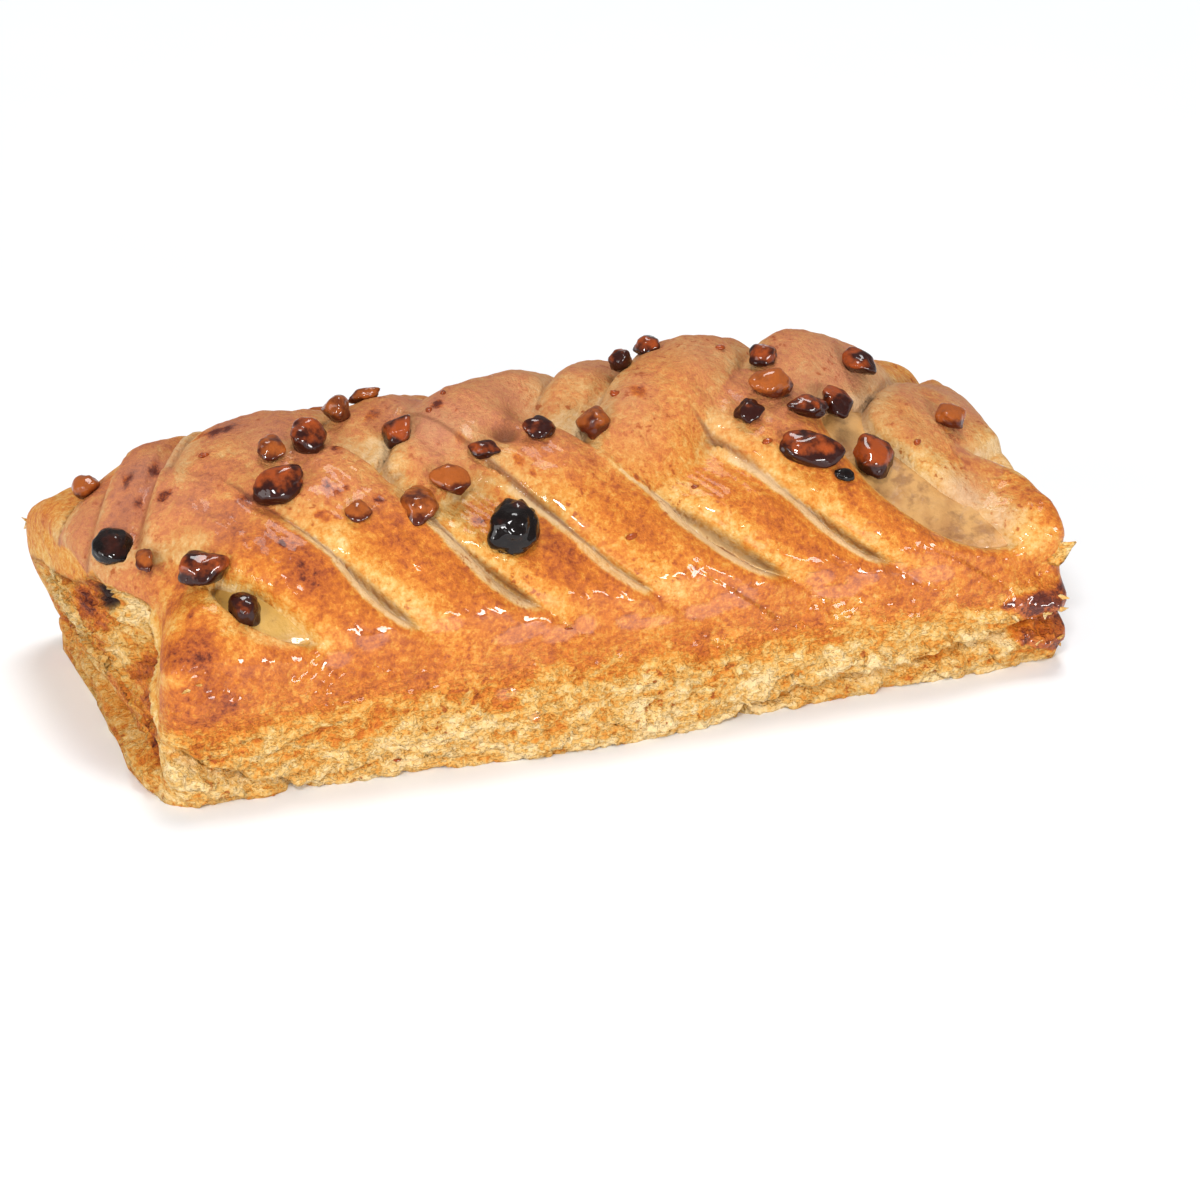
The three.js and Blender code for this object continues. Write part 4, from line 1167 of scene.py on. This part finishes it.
def solid_points(name):
    """The corners of a solid, in millimetres in the braid's own frame."""
    solid = frame["nodes"][name].data
    points = np.empty(3 * len(solid.vertices))
    solid.vertices.foreach_get("co", points)
    return points.reshape(-1, 3) / METRE - CENTRED


def add_nuts(finishes):
    """Every nut solid gets a chopped, glazed piece of its own in the same place."""
    rows = [row for row in frame["record"]["subparts"] if row["node"].startswith("nut_")]
    slots = {row["node"]: row["material_slot"] for row in rows}
    for index, name in enumerate(sorted(slots)):
        slot = slots[name]
        lumpy = RUGGED if name == RUGGED_NUT else EVEN
        surface, tone = nut_surface(solid_points(name), index, slot == "nut_burnt", lumpy)
        add_closed_grid(f"glazed_{name}", surface, finishes[slot], {"tone": tone}, [name])


def seated(x, q):
    """Points on the finished crust, and the outward direction there."""
    points = crust_points(x, q, crust_relief(x, q).relief - end_rounding(x, q))
    ny, nz = section_normal(x, q)
    return sagged(points), np.stack([0.0 * ny, ny, nz], axis=-1)


# Small chips of nut on the crust: x, q, half their length in mm, tone
CHIPS = [
    (-9.4, -1.15, 0.9, 0.5),
    (-50.7, 0.02, 0.9, 0.2),
    (-19.9, -0.05, 0.8, 0.2),
    (-16.7, 0.03, 0.8, 0.2),
    (13.1, -0.53, 0.7, 0.4),
    (-34.1, -1.82, 0.7, 0.4),
    (1.3, -0.71, 1.2, 0.0),
    (6.3, -0.13, 1.0, 0.0),
    (24.3, 0.02, 1.0, 0.0),
    (24.6, -0.42, 1.0, 0.0),
    (48.5, -0.38, 0.8, 0.1),
    (-40.0, 0.45, 0.7, 0.2),
    (-12.0, 0.60, 0.6, 0.2),
    (14.0, 0.52, 0.8, 0.3),
    (31.0, 0.75, 0.6, 0.2),
    (46.0, 0.48, 0.7, 0.1),
]
CHIP_SHAPE = np.array([1.2, 0.8, 0.5])  # length, width and height of a chip against its size
CHIP_LUMPS, CHIP_SHARPNESS, CHIP_FILL, CHIP_RAISED = 0.2, 4.0, 0.75, 0.1
FIRST_CHIP = 100  # its number for the draws, past those of the nuts


def chip_surface(index, place, out, size):
    """One crumb: a small flattened chopped ball, turned by a draw and laid against the crust."""
    ball = chopped_ball(FIRST_CHIP + index, CHIP_ROWS, CHIP_COLUMNS, CHIP_LUMPS, CHIP_SHARPNESS)
    ball = ball * CHIP_FILL * size * CHIP_SHAPE
    turn = FULL_TURN * draw(index, 8)
    across = ball[..., :1] * np.array([np.cos(turn), np.sin(turn), 0.0])
    across = across + ball[..., 1:2] * np.array([-np.sin(turn), np.cos(turn), 0.0])
    lying = across - (across @ out)[..., None] * out
    return place + lying + (ball[..., 2:] + CHIP_RAISED * size) * out


def add_chips(finish):
    """Crumbs of nut that sit a little way into the crust, in one mesh."""
    x, q, size, tone = np.array(CHIPS).T
    chips = [chip_surface(index, *seat) for index, seat in enumerate(zip(*seated(x, q), size))]
    points, faces = joined_grids(np.stack(chips))
    marks = {"tone": np.repeat(tone, points.shape[1])}
    add_piece("nut_chips", points, faces, finish, marks)


FLAKE_ROWS, FLAKE_COLUMNS = 8, 6
FLAKE_HALF_THICKNESS, ABOVE_TABLE = 0.05, 0.02
HEM_FLAKES, RIM_FLAKES = 90, 16
FRONT_SHARE = 0.66  # of the flakes lie on the front side
# The two large flakes: x, q, length, width, and their direction's shares along the braid, down, outward
LONE_FLAKES = [(63.8, -1.10, 5.2, 4.6, 1.0, -0.55, 0.1), (-13.0, -1.92, 2.8, 1.6, 0.1, 1.0, 0.3)]


def flake_places():
    """Where flakes of crust stand off: by draws along the hem and round the raw ends, and two large ones.

    Gives x, q, length, width and three shares of the flake's direction: along the braid, down, outward.
    """
    count = np.arange(HEM_FLAKES + RIM_FLAKES)
    chance = [draw(count, seed) for seed in range(80, 88)]
    hem = count < HEM_FLAKES
    x = -64.0 + 128.0 * chance[0]
    side = np.where(chance[1] < FRONT_SHARE, FRONT, BACK)
    hem_up = np.clip(hem_height(x, side), 1.2, None)
    q = side * np.where(hem, 2.0 - np.sqrt(hem_up / 26.0), 1.05 + 0.85 * chance[2])
    x = np.where(hem, x, np.sign(x) * (60.5 + 5.0 * chance[5]))
    length = np.where(hem, 0.9, 1.2) + 1.6 * chance[3] ** 2
    width = length * (0.4 + 0.5 * chance[4])
    along = np.where(hem, 1.6 * (chance[5] - 0.5), 0.4 * np.sign(x))
    down = np.where(hem, 0.7, 1.2 * (chance[6] - 0.4))
    outward = np.where(hem, 0.1 + 0.4 * chance[7], 0.1 * chance[7])
    strewn = np.stack([x, q, length, width, along, down, outward])
    return np.concatenate([strewn, np.array(LONE_FLAKES).T], axis=1)


def unit(vectors):
    """Vectors of length one: each divided by its length."""
    return vectors / np.linalg.norm(vectors, axis=-1, keepdims=True)


def flake_surfaces():
    """Grids of thin leaves, one for every flake.

    Each is a flat tube along its own direction: it widens fast at its root and narrows to a point, ragged
    by a draw, and it curls away from the crust with the square of the way along.
    """
    x, q, length, width, along, down, outward = flake_places()
    place, out = seated(x, q)
    below = unit(seated(x, q + 0.02 * np.sign(q))[0] - place)
    forward = along[:, None] * np.array([1.0, 0.0, 0.0]) + down[:, None] * below + outward[:, None] * out
    forward = unit(forward)
    sideways = unit(np.cross(out, forward))
    upward = np.cross(forward, sideways)
    turn = np.linspace(0.0, 2.0 * np.pi, FLAKE_ROWS, endpoint=False)[None, :, None]
    s = np.linspace(0.04, 0.96, FLAKE_COLUMNS)[None, None, :]
    number = np.arange(len(x))[:, None, None]
    ragged = 1.0 + 0.5 * (draw(7.0 * number + np.round(9.0 * s) + 3.0 * (turn > np.pi), 90) - 0.5)
    pointed = np.sqrt(np.minimum(1.0, 4.0 * s + 0.1)) * (1.0 - s) ** 0.8
    half = 0.5 * width[:, None, None] * pointed * ragged
    curl = (0.3 * draw(number, 91) - 0.1) * length[:, None, None] * s * s
    wide = half * np.cos(turn)
    high = FLAKE_HALF_THICKNESS * np.sin(turn) + curl
    way = (s - 0.25) * length[:, None, None] + 0.0 * turn
    points = place[:, None, None] + way[..., None] * forward[:, None, None]
    points = points + wide[..., None] * sideways[:, None, None] + high[..., None] * upward[:, None, None]
    points[..., 2] = np.clip(points[..., 2], ABOVE_TABLE, None)
    return points


def add_flakes(finish):
    """The loose flakes of crust in one mesh, each with a pale bake of its own by a draw."""
    points, faces = joined_grids(flake_surfaces())
    bake = 0.2 + 0.2 * draw(np.arange(len(points)), 92)
    marks = dough_marks(np.repeat(bake, points.shape[1]), flaky=1.0)
    add_piece("crust_flakes", points, faces, finish, marks)


def add_crust(finish):
    """The crust in place of the pastry's solid, its left end let down."""
    surface, marks = crust_surface()
    add_closed_grid("crust", sagged(surface), finish, marks, ["pastry"])


def add_filling(finish):
    """The filling in place of its solid, let down with the crust."""
    surface, marks = filling_surface()
    add_closed_grid("nut_filling", sagged(surface), finish, marks, ["filling"])


# Camera, from the fit to the photograph: degrees, and millimetres
LOOK_AT = np.array([0.2, -15.24, 15.0])
CAMERA_AZIMUTH, CAMERA_ELEVATION, CAMERA_DISTANCE = -20.8, 25.5, 700.0
LENS, SENSOR = 151.52, 36.0
# Softboxes: name, azimuth, elevation, distance, width, height, watts
SOFTBOXES = [
    ("key", -28.0, 42.0, 2400.0, 400.0, 250.0, 23.0),
    ("top", 150.0, 72.0, 2400.0, 800.0, 800.0, 29.0),
    ("low_left", -56.0, 12.0, 700.0, 60.0, 110.0, 0.8),
    ("low_right", 20.0, 11.0, 700.0, 200.0, 105.0, 2.5),
    ("fill_left", -72.0, 20.0, 900.0, 500.0, 500.0, 3.0),
]
SURROUND = 0.28  # strength of the even white light from all round
TABLE_HALF_WIDTH = 4000.0


def direction(azimuth, elevation):
    """The way from the braid to a light or camera: azimuth 0 is in front of it, positive to its right."""
    a, e = np.radians(azimuth), np.radians(elevation)
    return np.array([np.sin(a) * np.cos(e), -np.cos(a) * np.cos(e), np.sin(e)])


def aim(thing, azimuth, elevation, distance):
    """Puts a light or camera at its distance from the point looked at, and turns it to that point."""
    way = direction(azimuth, elevation)
    thing.location = (LOOK_AT + CENTRED + way * distance) * METRE
    thing.rotation_mode = "QUATERNION"
    thing.rotation_quaternion = Vector(-way).to_track_quat("-Z", "Y")
    bpy.context.scene.collection.objects.link(thing)


def add_camera():
    """The photograph's camera."""
    lens = bpy.data.cameras.new("camera")
    lens.lens = LENS
    lens.sensor_width = SENSOR
    camera = bpy.data.objects.new("camera", lens)
    aim(camera, CAMERA_AZIMUTH, CAMERA_ELEVATION, CAMERA_DISTANCE)
    bpy.context.scene.camera = camera


def add_softbox(name, azimuth, elevation, distance, width, height, power):
    """A flat rectangular light that faces the braid."""
    light = bpy.data.lights.new(name, "AREA")
    light.shape = "RECTANGLE"
    light.size, light.size_y = width * METRE, height * METRE
    light.energy = power
    aim(bpy.data.objects.new(name, light), azimuth, elevation, distance)


def add_light():
    """An even white surround and the softboxes, with colours shown as they are."""
    world = bpy.data.worlds.new("studio")
    world.use_nodes = True
    background = world.node_tree.nodes["Background"]
    background.inputs["Color"].default_value = (1.0, 1.0, 1.0, 1.0)
    background.inputs["Strength"].default_value = SURROUND
    bpy.context.scene.world = world
    for softbox in SOFTBOXES:
        add_softbox(*softbox)
    bpy.context.scene.view_settings.view_transform = "Standard"


def table_material():
    """A pale table top: two near whites, mixed by the faintest grain."""
    finish = Finish("table", {"Specular IOR Level": 0.2})
    grain = finish.grain(30.0, 2.0)
    finish.feed("Base Color", finish.mix(*TABLE_COLOURS, grain))
    finish.feed("Roughness", 0.7 + (grain - 0.5) * 0.1)
    return finish.material


def add_table(finish):
    """A wide flat square under the braid."""
    half = TABLE_HALF_WIDTH * METRE
    mesh = bpy.data.meshes.new("table")
    corners = [(-half, -half, 0.0), (half, -half, 0.0), (half, half, 0.0), (-half, half, 0.0)]
    mesh.from_pydata(corners, [], [(0, 1, 2, 3)])
    mesh.materials.append(finish)
    table = bpy.data.objects.new("table", mesh)
    bpy.context.scene.collection.objects.link(table)


add_camera()
add_light()
add_table(table_material())
baked_dough = crust_material()
glazed = {name: nut_material(name, *colours) for name, colours in NUT_COLOURS.items()}
add_crust(baked_dough)
add_flakes(baked_dough)
add_filling(filling_material())
add_nuts(glazed)
add_chips(glazed["nut_brown"])
